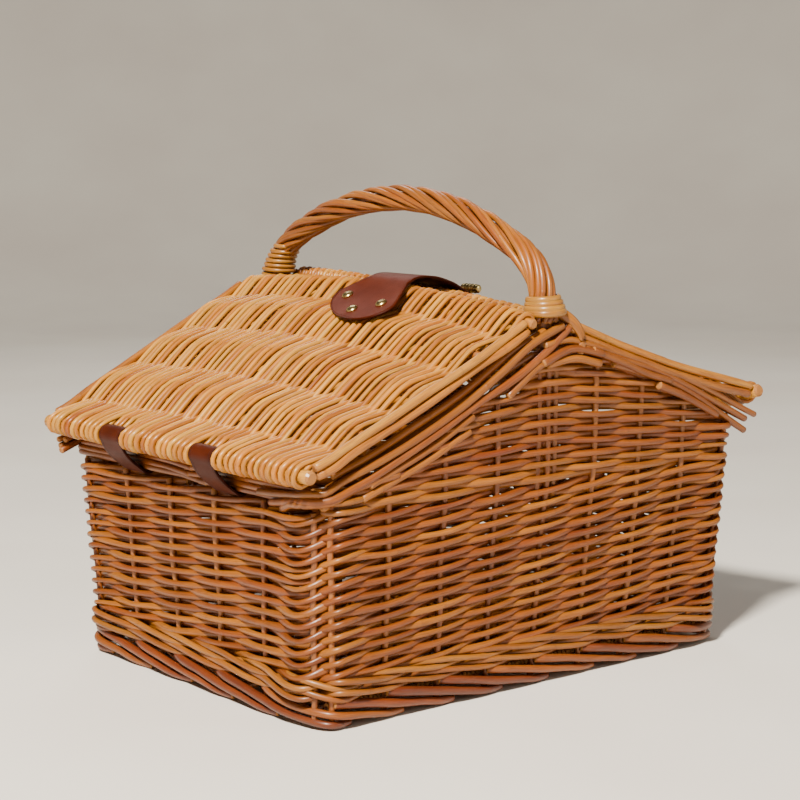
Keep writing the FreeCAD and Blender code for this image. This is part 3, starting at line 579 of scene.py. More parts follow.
def make_walls():
    """Walls of climbing rods, one set off from each stake, and level rows over the rim of the gables."""
    walls = {name: Rods("wall_weave_rods_" + name) for name, _ in WALLS}
    rows = 2 * int((WEAVE_TOP[2] - WEAVE_FOOT) / ROW_PITCH / 2)
    pitch = (WEAVE_TOP[2] - WEAVE_FOOT) / rows
    chooser = np.random.default_rng(5)
    for start in range(STAKES):
        level = -1
        while level < rows - 1:
            stop = min(level + int(chooser.choice(WALL_SPANS)), rows - 1)
            name = wall_of(start + (level + stop) // 2)
            climbing_rod(walls[name], start, level, stop, pitch)
            level = stop
    for name, indices in WALLS:
        if name in ("front", "back"):
            make_gable_rows(walls[name], indices, rows)
        walls[name].piece(WICKER_WALL, "wicker_wall", "tub", "wall_weave_" + name)


WALE_RADIUS = 2.2
WALE_COURSES = 2
WALE_SPANS = (9, 12, 9)         # stakes that the rods of one strand pass, all round
WALE_RISE = (0.0, 2.3, -2.3)    # of a strand behind a stake, then before two
WALE_OUT = (-4.8, 5.2, 5.2)     # of the same places, out of the stakes' ring


def make_wale():
    """Lower wale: two courses of three rods, each before two stakes and behind one, twisted like rope."""
    walls = {name: Rods("lower_wale_rods_" + name) for name, _ in WALLS}
    height = (WALE_TOP - FOOT_TOP[2]) / WALE_COURSES
    for course in range(WALE_COURSES):
        middle_z = WEAVE_FOOT - (WALE_COURSES - course - 0.5) * height
        for strand in range(3):
            place = strand
            for span in WALE_SPANS:
                places = np.arange(place, place + span + 1)
                phase = (places - strand) % 3
                z = middle_z + np.choose(phase, WALE_RISE)
                line = smooth(around(places, z, np.choose(phase, WALE_OUT)))
                rods = walls[wall_of(place + span // 2)]
                rods.add(line, WALE_RADIUS, taper=0.15, wander=0.2, tone=rods.random.uniform(0, 0.7))
                place += span
    for name, rods in walls.items():
        rods.piece(WICKER_WALE, "wicker_foot", "tub", "lower_wale_" + name)


FOOT_ROD_RADIUS = 2.9
FOOT_ROD_Z = (18.5, 17.8, 15.0, 11.4, 7.2, 4.2, 3.4)    # down a rod's line
FOOT_ROD_OUT = (2.6, 5.4, 6.0, 6.0, 5.8, 4.6, 2.0)      # of the same places, out of the stakes' ring


def make_foot_border():
    """Rolled foot: stout rods that slant down over two more stakes to the bottom edge.

    One starts at every stake except the last one of each wall, at the corner.
    """
    corners = [indices[-1] for _, indices in WALLS]
    starts = [i for i in range(STAKES) if i not in corners]
    for name, indices in WALLS:
        rods = Rods("foot_border_rods_" + name, 10)
        for start in (i for i in indices if i in starts):
            following = [starts.index(start) + k for k in (1, 2)]
            first, second = (starts[at % len(starts)] + STAKES * (at // len(starts)) for at in following)
            places = [start + 0.02, start + 0.2, start + 0.6, first, first + 0.6, second, second + 0.3]
            line = smooth(around(places, FOOT_ROD_Z, FOOT_ROD_OUT))
            rods.add(line, FOOT_ROD_RADIUS * rods.random.uniform(0.92, 1.08), taper=0.25, wander=0.3)
        rods.piece(WICKER_FOOT, "wicker_foot", "tub", "foot_border_" + name)


BASE_STICKS = 7
BASE_WEAVER_RADIUS = 2.0
BASE_PITCH = 4.2                # of the base's weavers


def make_base():
    """Base panel: stout sticks along X, and weavers over and under them."""
    low, high = cad_box("base_weave")
    stick_low, stick_high = cad_box("base_sticks")
    z = (low[2] + high[2]) / 2
    stick_radius = (stick_high[2] - stick_low[2]) / 2
    stick_y = np.linspace(stick_low[1] + stick_radius, stick_high[1] - stick_radius, BASE_STICKS)
    sticks = Rods("base_stick_rods")
    for y in stick_y:
        sticks.add(smooth([(stick_low[0], y, z), (0, y, z), (stick_high[0], y, z)], 12), stick_radius)
    sticks.piece(WICKER_STAKE, "wicker_stake", "tub", "base_sticks")
    weave = Rods("base_weave_rods", 6)
    swing = stick_radius + BASE_WEAVER_RADIUS
    for i, x in enumerate(np.arange(low[0] + 3, high[0] - 3, BASE_PITCH)):
        passes = [(x, y, z + (swing if (i + k) % 2 else -swing)) for k, y in enumerate(stick_y)]
        line = [(x, low[1] + 1, z)] + passes + [(x, high[1] - 1, z)]
        weave.add(smooth(line, 5), BASE_WEAVER_RADIUS, (1, 0, 0))
    weave.piece(WICKER_WALL, "wicker_wall", "tub", "base_weave")


# ---- rim borders ---------------------------------------------------------------------------------
EAVE_ROD_RADIUS = 2.65
EAVE_ROD_ANGLES = (-48, 42, 180)    # of the three rods of a bundle, round its middle


def make_eave_borders():
    """Stout rods along each eave: three make the bundle that the straps go round, one lies on top."""
    for side, sign in (("left", -1), ("right", 1)):
        low, high = cad_box("eave_border_" + side)
        centre = (low + high) / 2
        circle = (high[2] - low[2]) / 2 - EAVE_ROD_RADIUS - 0.2
        angles = [math.radians(angle) for angle in EAVE_ROD_ANGLES]
        places = [(circle * math.cos(angle), circle * math.sin(angle)) for angle in angles]
        places.append((1.6, 2 * circle + 1.5))
        rods = Rods("eave_border_rods_" + side)
        for out, up in places:
            joint = rods.random.uniform(-25, 35)
            for start, end in ((joint + 4, low[1] + 3), (joint - 4, high[1] + 2)):
                y = np.linspace(start, end + rods.random.uniform(-3, 3), 30)
                shift = 1.8 * np.clip((30 - np.abs(y - start)) / 30, 0, 1)
                x = sign * (abs(centre[0]) + out + shift * 0.3)
                line = np.column_stack([x, y, centre[2] + up - shift])
                rods.add(line, EAVE_ROD_RADIUS * rods.random.uniform(0.94, 1.04), taper=-0.22, wander=0.2)
        rods.piece(WICKER_WALL, "wicker_border", "tub", "eave_border_" + side)


GABLE_ROD_RADIUS = 2.8
FACE = 5.5                      # how far the outer border rods lie out of the stakes' plane
# Rods of the front borders: how far out each lies, how far it goes on along the eave (0: not at all), and
# its places, each with x from the middle and the height over the straight line of the weave's edge.
LEFT_SLOPE_RODS = (
    (FACE, 70, ((7, 8), (-19, 4), (-51, 1), (-82, -1), (-121, 1), (-158, 6), (-184, 11), (-196, 12))),
    (FACE, 55, ((14, 10), (-6, -9), (-34, -10.5), (-66, -7.5), (-101, -6), (-139, -3), (-172, 1),
                (-194, 6))),
    (-0.5, 0, ((-4, 3), (-30, 6), (-80, 5.5), (-120, 8), (-160, 12), (-185, 15))),
    (-1.0, 0, ((-16, -7), (-66, -2), (-101, 0), (-139, 3), (-172, 8), (-190, 10))),
    (FACE - 1, 0, ((-160, -6), (-120, -12), (-74, -14))),
    (FACE - 1, 0, ((-165, -12), (-120, -19), (-76, -22.5))),
    (FACE - 1, 40, ((-137, -13.5), (-170, -1), (-194, 4))),
    (FACE + 0.5, 0, ((-42, -19), (-12, -15), (12, -8))),
)
RIGHT_SLOPE_RODS = (
    (FACE, 0, ((-8, -4), (13, 1), (33, 7), (69, 16), (118, 25), (171, 32), (198, 34), (217, 36))),
    (FACE, 0, ((30, 3), (69, 12), (112, 21), (160, 25), (187, 27), (206, 28))),
    (FACE - 1, 0, ((60, 5), (110, 17), (151, 21), (173, 20), (207, 20))),
    (FACE + 2, 0, ((36, 4), (70, 10), (88, 12), (116, 18))),
    (FACE + 1.5, 0, ((105, 10), (145, 15), (171, 16))),
    (-0.5, 0, ((4, 2), (50, 10), (118, 20), (171, 27), (212, 30))),
    (-1.0, 0, ((40, 4), (118, 14), (171, 21), (209, 22))),
    (FACE + 2, 0, ((-12, -14), (14, -5), (46, 6))),
    (FACE + 2, 0, ((-6, -19), (18, -10), (43, -2))),
)


def slope_rod(end, out, round_corner, places):
    """Line of a border rod up a gable's slope, which may go on round the corner and along the eave."""
    x, lift = np.array(places, float).T
    z = GABLE_TOP[2] - GABLE_SLOPE * np.abs(x) + lift
    y = end * (half_width(z) - STAKE_INSET + bulge(x, z) + out)
    points = np.column_stack([x, y, z])
    if round_corner:
        corner = math.copysign(half_length(WEAVE_TOP[2]) + 1.5, x[-1])
        points = np.vstack([points, (corner, y[-1] - end * 8, z[-1] - 1),
                            (corner, y[-1] - end * 30, z[-1] - 4),
                            (corner - math.copysign(2, corner), y[-1] - end * round_corner, z[-1] - 8)])
    return smooth(points)


def make_front_borders():
    """Loose bundles of stout rods up the front gable's slopes, with cut ends past the corners."""
    for side, slope_rods in (("left", LEFT_SLOPE_RODS), ("right", RIGHT_SLOPE_RODS)):
        rods = Rods("gable_border_rods_front_" + side, 10)
        for out, round_corner, places in slope_rods:
            radius = GABLE_ROD_RADIUS * rods.random.uniform(0.92, 1.06)
            rods.add(slope_rod(-1, out, round_corner, places), radius, ALONG_Y, taper=0.12, wander=0.25)
        rods.piece(WICKER_WALL, "wicker_border", "tub", "gable_border_front_" + side)


def make_back_borders():
    """The same at the back, in tidier bundles of four."""
    for side, sign in (("left", -1), ("right", 1)):
        rods = Rods("gable_border_rods_back_" + side, 10)
        for k, (lift, out) in enumerate(((3, FACE), (9, FACE), (3.5, -1), (9.5, -1))):
            past = rods.random.uniform(3, 12)
            x = np.array([4 * k - 8, 20, 70, 120, 165, 190, WEAVE_TOP[0] + past])
            lifts = lift + rods.random.normal(0, 0.5, len(x)) + [-5, 0, 0, 1, 3, 6, 10]
            rods.add(slope_rod(1, out, 0, np.column_stack([sign * x, lifts])), GABLE_ROD_RADIUS, ALONG_Y,
                     taper=0.1, wander=0.25)
        rods.piece(WICKER_WALL, "wicker_border", "tub", "gable_border_back_" + side)


# ---- lids --------------------------------------------------------------------------------------------
LID_HALF_WIDTH = 162.5          # of the woven panel, along Y
LID_WEAVERS = 92
LID_STICKS = 3
LID_STICK_PITCH = 55.5
LID_STICK_RADIUS = 3.4
LID_WEAVER_RADIUS = 2.0
LOCK_S = LID_LENGTH - 42.0      # the turn-lock's place on the right lid
PLATE_LIFT = 8.6
# Rise of the left and the right lid's ridge: all of it, its back end over its middle, and a bow's middle.
LID_SAG = {-1: (-3.0, 5.0, 9.0), 1: (-3.0, 11.0, 4.0)}
CORNER_LIFT = 18.0              # of the right lid's front corner at the eave, which stands off the border
WINDOW_HALF = 15.5              # bare stretch of edge rod at a hinge strap
STRAP_STOP = 14.0               # where the weavers behind a strap turn in to the edge rod
SIDE_ROD_RADIUS = 3.0
RIDGE_SPREAD = 17.0             # how much farther back the left lid reaches at the ridge than at the eave


def lid_rise(side, s, y):
    """How far a lid's woven panel has warped out of its plane, upwards."""
    v = y / LID_HALF_WIDTH
    whole, tilt, bow = LID_SAG[side]
    rise = (whole + tilt * v + bow * (1 - v ** 2)) * np.sin(1.8 * np.clip(s / LID_LENGTH, 0, 1))
    if side > 0:
        near = np.clip((-v - 0.4) / 0.6, 0, 1.1) ** 1.3
        rise = rise + CORNER_LIFT * near * np.clip(1 - s / LID_LENGTH, 0, 1)
    return rise


def lid_points(side, s, y, n):
    """Points on a lid: s up the slope from the edge rod, n out of its middle plane, side -1 or 1."""
    s, y, n = np.broadcast_arrays(np.asarray(s, float), np.asarray(y, float), n)
    if side < 0:
        y = y + RIDGE_SPREAD * np.clip(s / LID_LENGTH, 0, 1) * np.clip(y / LID_HALF_WIDTH, 0, 1)
    x = EDGE_AXIS[0] + s * LID_UP_SLOPE[0] + n * LID_OUT[0]
    z = EDGE_AXIS[2] + s * LID_UP_SLOPE[1] + n * LID_OUT[1] + lid_rise(side, s, y)
    return np.column_stack([side * x, y, z])


def lid_pass(side, parity, y, stop, random):
    """One pass of a weaver from the ridge down to the edge rod: over the ridge first if parity is 0."""
    swing = [RIDGE_ROD_RADIUS, LID_STICK_RADIUS, LID_STICK_RADIUS, LID_STICK_RADIUS, EDGE_ROD_RADIUS]
    s = np.array([LID_LENGTH, 3 * LID_STICK_PITCH, 2 * LID_STICK_PITCH, LID_STICK_PITCH, 0.0])
    s[1:4] += random.normal(0, 1.0, 3)
    n = [(r + LID_WEAVER_RADIUS) * (1 if (k + parity) % 2 == 0 else -1) for k, r in enumerate(swing)]
    sway = y + random.normal(0, 0.7, 5)
    line = []
    for k in range(4):
        share = np.linspace(0, 1, 15)[:-1]
        bend = (1 - np.cos(math.pi * share)) / 2
        bend = 0.35 * bend + 0.65 * np.clip(1.16 * share - 0.08, 0, 1)
        line.append(np.column_stack([s[k] + (s[k + 1] - s[k]) * share, n[k] + (n[k + 1] - n[k]) * bend,
                                     sway[k] + (sway[k + 1] - sway[k]) * share]))
    line = np.vstack(line + [[(s[4], n[4], sway[4])]])
    if stop:
        line = np.vstack([line[line[:, 0] >= stop], (6.5, math.copysign(3.0, n[4]), sway[4])])
    return lid_points(side, line[:, 0], line[:, 2], line[:, 1])


def lid_turn(side, s, radius, y_from, y_to, start, end):
    """A weaver's turn round a rod, from one angle to another in the lid's section."""
    angle = np.radians(np.linspace(start, end, 7)[1:-1])
    share = np.linspace(0, 1, 7)[1:-1]
    return lid_points(side, s + radius * np.cos(angle), y_from + (y_to - y_from) * share,
                      radius * np.sin(angle))


def make_lid(side, name):
    """A lid: rods along its edge and ridge, inner sticks, two rods up each side, and the woven panel."""
    body = "lid_" + name
    half_edge = EDGE_BOX[1][1]
    half_ridge = RIDGE_BOX[1][1]
    edge_rod = Rods(body + "_edge_rod_wood", 14)
    y = np.linspace(-half_edge + 1.5, half_edge - 1.5, 60)
    edge_rod.add(lid_points(side, 0, y, 0), EDGE_ROD_RADIUS - 0.15, wander=0.12)
    edge_rod.piece(WICKER_LID, "wicker_lid_rod", body, body + "_edge_rod")
    ridge_rod = Rods(body + "_ridge_rod_wood", 12)
    y = np.linspace(-half_ridge + 1, half_ridge - 1, 60)
    ridge_rod.add(lid_points(side, LID_LENGTH, y, 0), RIDGE_ROD_RADIUS, wander=0.12)
    ridge_rod.piece(WICKER_LID, "wicker_lid_rod", body, body + "_ridge_rod")
    sticks = Rods(body + "_stick_wood")
    y = np.linspace(-LID_HALF_WIDTH + 2, LID_HALF_WIDTH - 2, 50)
    for k in range(1, LID_STICKS + 1):
        sticks.add(lid_points(side, k * LID_STICK_PITCH, y, 0), LID_STICK_RADIUS)
    sticks.piece(WICKER_STAKE, "wicker_lid_rod", body, body + "_sticks")
    sides = Rods(body + "_side_rod_wood", 12)
    for end in (-1, 1):
        for n in (-SIDE_ROD_RADIUS, SIDE_ROD_RADIUS):
            s = np.array([8, 14, 40, 80, 120, 160, 195, LID_LENGTH - 5])
            y = end * (LID_HALF_WIDTH + SIDE_ROD_RADIUS + sides.random.normal(0, 0.5, len(s)))
            height = n + sides.random.normal(0, 0.5, len(s))
            sides.add(smooth(lid_points(side, s, y, height)), SIDE_ROD_RADIUS, ALONG_Y, taper=0.1)
    sides.piece(WICKER_LID, "wicker_lid_rod", body, body + "_side_rods")
    make_lid_weave(side, body)


def make_lid_weave(side, body):
    """Weavers folded in two over the edge rod. Behind the hinge straps they stop short of it."""
    weave = Rods(body + "_weave_rods")
    pitch = 2 * LID_HALF_WIDTH / LID_WEAVERS
    jitter = weave.random.normal(0, 0.4, LID_WEAVERS)
    places = -LID_HALF_WIDTH + pitch * (np.arange(LID_WEAVERS) + 0.5) + jitter
    edge_turn = EDGE_ROD_RADIUS + LID_WEAVER_RADIUS
    ridge_turn = RIDGE_ROD_RADIUS + LID_WEAVER_RADIUS
    for first in range(0, LID_WEAVERS, 2):
        y_over, y_under = places[first], places[first + 1]
        at_strap = min(abs((y_over + y_under) / 2 - y) for y in HINGE_Y) < WINDOW_HALF
        stop = STRAP_STOP if at_strap else 0.0
        over = lid_pass(side, 0, y_over, stop, weave.random)
        under = lid_pass(side, 1, y_under, stop, weave.random)[::-1]
        over_start = lid_turn(side, LID_LENGTH, ridge_turn, y_over, y_over, -70, 90)
        under_end = lid_turn(side, LID_LENGTH, ridge_turn, y_under, y_under, -90, 40)
        radius = LID_WEAVER_RADIUS * weave.random.uniform(0.8, 1.15)
        if at_strap:
            weave.add(np.vstack([over_start, over]), radius, ALONG_Y)
            weave.add(np.vstack([under, under_end]), radius, ALONG_Y)
        else:
            turn = lid_turn(side, 0.0, edge_turn, y_over, y_under, 90, 270)
            weave.add(np.vstack([over_start, over, turn, under, under_end]), radius, ALONG_Y)
    weave.piece(WICKER_LID, "wicker_lid", body, body + "_weave")


# ---- handle ------------------------------------------------------------------------------------------
HANDLE_FOOT_Y = {-1: 156.0, 1: 164.0}   # of the front leg and of the back one
HANDLE_SPRING_Z = 272.0         # where the straight legs turn into the arch
HANDLE_SHOULDER = 45.0          # radius of the arch's shoulders
HANDLE_CROWN_Z = 346.0          # of the rope's middle
BOW_RADIUS = 4.5
STRANDS = 11
STRAND_RADIUS = 2.2
STRAND_RING = 7.7               # from the rope's middle to the strands' middles
ROPE_LAY = 185.0                # length of one turn of a strand


def handle_line(bottom, step=2.0):
    """Centre line of the handle, from the front leg's bottom over the crown to the back leg's."""
    halves = []
    for end in (-1, 1):
        shoulder_y = HANDLE_FOOT_Y[end] - HANDLE_SHOULDER
        rise = HANDLE_CROWN_Z - HANDLE_SPRING_Z
        crown = (shoulder_y ** 2 + rise ** 2 - HANDLE_SHOULDER ** 2) / (2 * (rise - HANDLE_SHOULDER))
        turn = math.atan2(crown - rise, shoulder_y)
        z = np.arange(bottom, HANDLE_SPRING_Z, step)
        leg = np.column_stack([np.full(len(z), HANDLE_FOOT_Y[end]), z])
        angle = np.linspace(0, turn, int(HANDLE_SHOULDER * turn / step))[:-1]
        shoulder = np.column_stack([shoulder_y + HANDLE_SHOULDER * np.cos(angle),
                                    HANDLE_SPRING_Z + HANDLE_SHOULDER * np.sin(angle)])
        angle = np.linspace(turn, math.pi / 2, int(crown * (math.pi / 2 - turn) / step))
        top = np.column_stack([crown * np.cos(angle), HANDLE_CROWN_Z - crown + crown * np.sin(angle)])
        halves.append(np.vstack([leg, shoulder, top]) * (end, 1))
    whole = np.vstack([halves[0], halves[1][-2::-1]])
    return np.column_stack([np.zeros(len(whole)), whole])


def make_handle():
    """Bow of one stout rod, with the strands laid round it like rope."""
    bow = Rods("handle_bow_wood", 12)
    bow.add(handle_line(cad_box("handle_bow")[0][2], 4.0), BOW_RADIUS, (1, 0, 0), wander=0.1)
    bow.piece(WICKER_STAKE, "wicker_handle", "tub", "handle_bow")
    rope = Rods("handle_rope_strands", 10)
    line = handle_line(cad_box("handle_rope")[0][2] - 5.0)
    run = unit(np.gradient(line, axis=0))
    out = np.cross(run, (1.0, 0.0, 0.0))
    along = np.concatenate([[0.0], np.cumsum(np.linalg.norm(np.diff(line, axis=0), axis=1))])
    for k in range(STRANDS):
        group = 0.10 * (1 if k % 2 else -1)
        drift = stretched(rope.random.normal(0, 0.07, (9, 1)), len(line))[:, 0]
        angle = 2 * math.pi * (k / STRANDS + along / ROPE_LAY) + group + drift
        ring = STRAND_RING + stretched(rope.random.normal(0, 0.25, (9, 1)), len(line))[:, 0]
        turned_out = np.cos(angle)[:, None] * (1.0, 0.0, 0.0) + np.sin(angle)[:, None] * out
        strand = line + ring[:, None] * turned_out
        rope.add(strand, STRAND_RADIUS * rope.random.uniform(0.94, 1.08), (1, 0, 0), taper=0.08, wander=0.1)
    rope.piece(WICKER_HANDLE, "wicker_handle", "tub", "handle_rope")


def wound(end, turns, low_z, high_z, radius_low, radius_high, stretch):
    """A winding round a foot of the handle, whose lower turns stretch outwards over the gable's apex."""
    angle = np.linspace(0, 2 * math.pi * turns, 36 * turns)
    radius = np.linspace(radius_low, radius_high, len(angle))
    z = np.linspace(low_z, high_z, len(angle))
    over = np.maximum(z - HANDLE_SPRING_Z, 0)
    middle = HANDLE_FOOT_Y[end] - HANDLE_SHOULDER + np.sqrt(HANDLE_SHOULDER ** 2 - over ** 2)
    reach = np.clip(-3 * np.sin(angle), 0, 1) * stretch * np.clip((high_z + 4 - z) / (high_z - low_z), 0, 1)
    y = middle - radius * np.sin(angle) + reach
    return np.column_stack([radius * np.cos(angle), end * y, z])


def make_front_binding():
    """Cane binding of the front foot: four flat turns and a long loose tail."""
    low, high = cad_box("handle_binding_front")
    cane = Rods("handle_binding_cane_front")
    reach = high[0] - 1.4
    bottom = low[2] - 3.0
    winding = wound(-1, 4, bottom + 2.2, high[2] - 4.0, reach + 3.5, reach + 0.5, stretch=3.0)
    cane.add(winding, 2.3, flat=(0.7, 1.1), wander=0.1)
    tail = [(8.0, low[1] + 4, bottom + 4), (13, low[1] + 1, bottom + 1), (20, low[1] - 2.5, bottom - 6),
            (24.5, low[1] - 3.5, bottom - 15), (23, low[1] - 3, bottom - 25)]
    cane.add(smooth(tail, 2.5), 2.9, flat=(0.35, 1.2), taper=0.6, wander=0.1)
    cane.piece(CANE, "cane_binding", "tub", "handle_binding_front")


def make_back_binding():
    """Cane binding of the back foot: nine thin turns and a short cut end."""
    low, high = cad_box("handle_binding_back")
    cane = Rods("handle_binding_cane_back")
    reach = high[0] - 1.2
    top = high[2] + 16.0
    cane.add(wound(1, 9, low[2] + 1.4, top, reach + 2.5, reach - 0.5, stretch=2.0), 1.9, wander=0.35)
    stub = [(4, high[1] - 12, top - 2), (12, high[1] - 11, top + 2), (22, high[1] - 10, top + 8)]
    cane.add(smooth(stub, 3), 1.6, wander=0.1)
    cane.piece(CANE, "cane_binding", "tub", "handle_binding_back")


# ---- leather -----------------------------------------------------------------------------------------
LEATHER = 2.0
HINGE_BULGE = 3.0               # of the hinge straps' outer run
HINGE_ROD_CLEARANCE = 0.4
HINGE_BORDER_CLEARANCE = 0.5
HINGE_RINGS = (0.0, 0.15, 0.5, 1.2, 2.0, 2.5, 3.0, 4.0, 8.0, 14.0)  # of points, inwards from the edge
STRAP_LIFT = 9.8                # of the closing strap's middle surface, over the lids' middle planes
TONGUE_REACH = 56.0             # of the tongue, down the left lid from the ridge
FLAP_REACH = 72.0               # of the flap, down the right lid
RIDGE_TO_LOCK = 86.0            # roughly, along the strap from the left lid's ridge
TONGUE_HALF = 41.0
NECK_HALF = 26.0
STRAP_TURN = math.tan(math.radians(8))  # the strap is turned a little about the lock
SLOT_HALF = (12.0, 5.5)         # of the flap's buttonhole, along and across the strap
STRAP_COLUMNS = 14              # from the strap's middle to its edge
STRAP_CHAMFER = 0.4


def mesh_object(name, points, faces, material, slot, body, nodes):
    """A smooth piece of one material, from points in millimetres."""
    mesh = bpy.data.meshes.new(name)
    mesh.from_pydata((np.asarray(points) * MM).tolist(), [], faces)
    mesh.materials.append(material)
    mesh.polygons.foreach_set("use_smooth", [True] * len(mesh.polygons))
    mesh.update()
    return placed(mesh, slot, body, *nodes)


def set_edge(piece, distances):
    """Each vertex's distance from a strap's outline, in centimetres, which the crease follows."""
    layer = piece.data.attributes.new("edge", "FLOAT", "POINT")
    layer.data.foreach_set("value", (np.asarray(distances) / 10).astype(np.float32))


def make_hinge_strap(side, sign, place):
    """Leather loop round the lid's edge rod and the eave border."""
    low, high = cad_box(f"hinge_strap_{side}_{place}")
    border_low, border_high = cad_box("eave_border_" + side)
    border = (border_low + border_high) / 2
    border_radius = (border_high[2] - border_low[2]) / 2 + HINGE_BORDER_CLEARANCE + LEATHER / 2
    rod_radius = EDGE_ROD_RADIUS + HINGE_ROD_CLEARANCE + LEATHER / 2
    rod = EDGE_AXIS * (sign, 1, 1)
    line = rod - border
    heading = math.atan2(line[2], line[0])
    lean = math.acos((border_radius - rod_radius) / math.hypot(line[0], line[2]))
    top = heading + np.linspace(-lean, lean, 14)
    bottom = heading + np.linspace(lean, 2 * math.pi - lean, 18)
    over = [(rod[0] + rod_radius * math.cos(a), rod[2] + rod_radius * math.sin(a)) for a in top]
    under = [(border[0] + border_radius * math.cos(a), border[2] + border_radius * math.sin(a))
             for a in bottom]
    outer = (over[-1], under[0]) if sign < 0 else (under[-1], over[0])
    share = np.linspace(0, 1, 9)[1:-1]
    run = np.outer(1 - share, outer[0]) + np.outer(share, outer[1])
    run[:, 0] += sign * HINGE_BULGE * np.sin(math.pi * share)
    run = run.tolist()
    path = np.array(over + run + under if sign < 0 else over + under + run)
    run = unit(np.roll(path, -1, axis=0) - np.roll(path, 1, axis=0))
    out = np.column_stack([run[:, 1], -run[:, 0]])
    half = (high[1] - low[1]) / 2
    middle = (high[1] + low[1]) / 2
    section = [(half - d, LEATHER / 2 * (0.55 if d == 0 else 1 - 0.25 * max(0, 0.5 - d)))
               for d in HINGE_RINGS]
    ring = [(-y, t) for y, t in section] + [(y, t) for y, t in section[-2::-1]]
    ring += [(y, -t) for y, t in section] + [(-y, -t) for y, t in section[-2::-1]]
    points, edge = [], []
    for (x, z), (nx, nz) in zip(path, out):
        for y, t in ring:
            points.append((x + nx * t, middle + y, z + nz * t))
            edge.append(half - abs(y))
    count, width = len(path), len(ring)
    faces = []
    for i in range(count):
        for j in range(width):
            a, b = i * width, ((i + 1) % count) * width
            faces.append((a + j, b + j, b + (j + 1) % width, a + (j + 1) % width))
    strap = mesh_object(f"hinge_strap_leather_{side}_{place}", points, faces, LEATHER_DARK,
                        "leather_dark", "tub", [f"hinge_strap_{side}_{place}"])
    set_edge(strap, edge)


class StrapLine:
    """The closing strap's run, from the tongue's tip on the left lid over the ridge to the flap's end."""

    def __init__(self):
        down = np.arange(0, TONGUE_REACH + 8, 6.0)[::-1]
        left = lid_points(-1, LID_LENGTH - down, -(RIDGE_TO_LOCK + down) * STRAP_TURN, STRAP_LIFT)
        right = lid_points(1, LID_LENGTH - np.arange(0, FLAP_REACH + 6, 6.0), 0, STRAP_LIFT)
        arch = [(left[-1][0] + 5, 0, left[-1][2] + 1.8), (0, 0, max(left[-1][2], right[0][2]) + 2.2),
                (right[0][0] - 5, 0, right[0][2] + 1.8)]
        line = smooth(np.vstack([left, arch, right]) * (1, 0, 1), 1.5)[:, [0, 2]]
        self.line = line
        self.along = np.concatenate([[0.0], np.cumsum(np.linalg.norm(np.diff(line, axis=0), axis=1))])
        ridge = np.argmin(np.abs(line[:, 0] - left[-1][0]))
        self.along -= self.along[ridge]
        run = unit(np.gradient(line, axis=0))
        self.out = np.column_stack([-run[:, 1], run[:, 0]])
        self.end = FLAP_REACH + np.linalg.norm(right[0] - left[-1]) + 2.0
        self.slot = self.end - FLAP_REACH + LID_LENGTH - LOCK_S

    def point(self, along, across, lift):
        """Point of the strap: along is 0 at the left lid's ridge, across is 0 on its middle line."""
        place = along + across * STRAP_TURN
        x, z = (np.interp(place, self.along, column) for column in self.line.T)
        out_x, out_z = (np.interp(place, self.along, column) for column in self.out.T)
        return x + out_x * lift, across - (self.slot - along) * STRAP_TURN, z + out_z * lift

    def half(self, along):
        """Half the strap's width: a round tongue, a straight neck and a round end."""
        from_tip = along + TONGUE_REACH
        half = float(np.interp(from_tip, [TONGUE_REACH / 2, TONGUE_REACH], [TONGUE_HALF, NECK_HALF]))
        half *= math.sqrt(1 - max(0, 1 - from_tip / 30) ** 2)
        half *= math.sqrt(1 - max(0, 1 - (self.end - along) / NECK_HALF) ** 2)
        return max(half, 1.5)

    def hole(self, along):
        """Half the buttonhole's width."""
        share = 1 - abs(along - self.slot) / SLOT_HALF[0]
        return SLOT_HALF[1] * min(1, math.sqrt(share * 2.5)) if share > 0.001 else 0.0


def strap_faces(row_count, holes):
    """Faces of the strap: skins, edges, the hole's walls and the two ends.

    Each comes with the way round it goes, and corners as (row, side, column, layer). The side is -1 or 1,
    columns count outwards, and the layer is 1 on top, 0 in the middle and -1 underneath.
    """

    def quad(row, side, column, layer, next_column, next_layer):
        return [(row, side, column, layer), (row, side, next_column, next_layer),
                (row + 1, side, next_column, next_layer), (row + 1, side, column, layer)]

    last = STRAP_COLUMNS
    for row in range(row_count - 1):
        for side in (-1, 1):
            for c in range(last):
                yield side, quad(row, side, c, 1, c + 1, 1)
                yield -side, quad(row, side, c, -1, c + 1, -1)
            yield side, quad(row, side, last, 1, last, 0)
            yield side, quad(row, side, last, 0, last, -1)
            if holes[row] > 0 or holes[row + 1] > 0:
                yield -side, quad(row, side, 0, 1, 0, -1)
    for row, turn in ((0, -1), (row_count - 1, 1)):
        for side in (-1, 1):
            for c in range(last):
                yield side * turn, [(row, side, c, 1), (row, side, c + 1, 1),
                                    (row, side, c + 1, -1), (row, side, c, -1)]


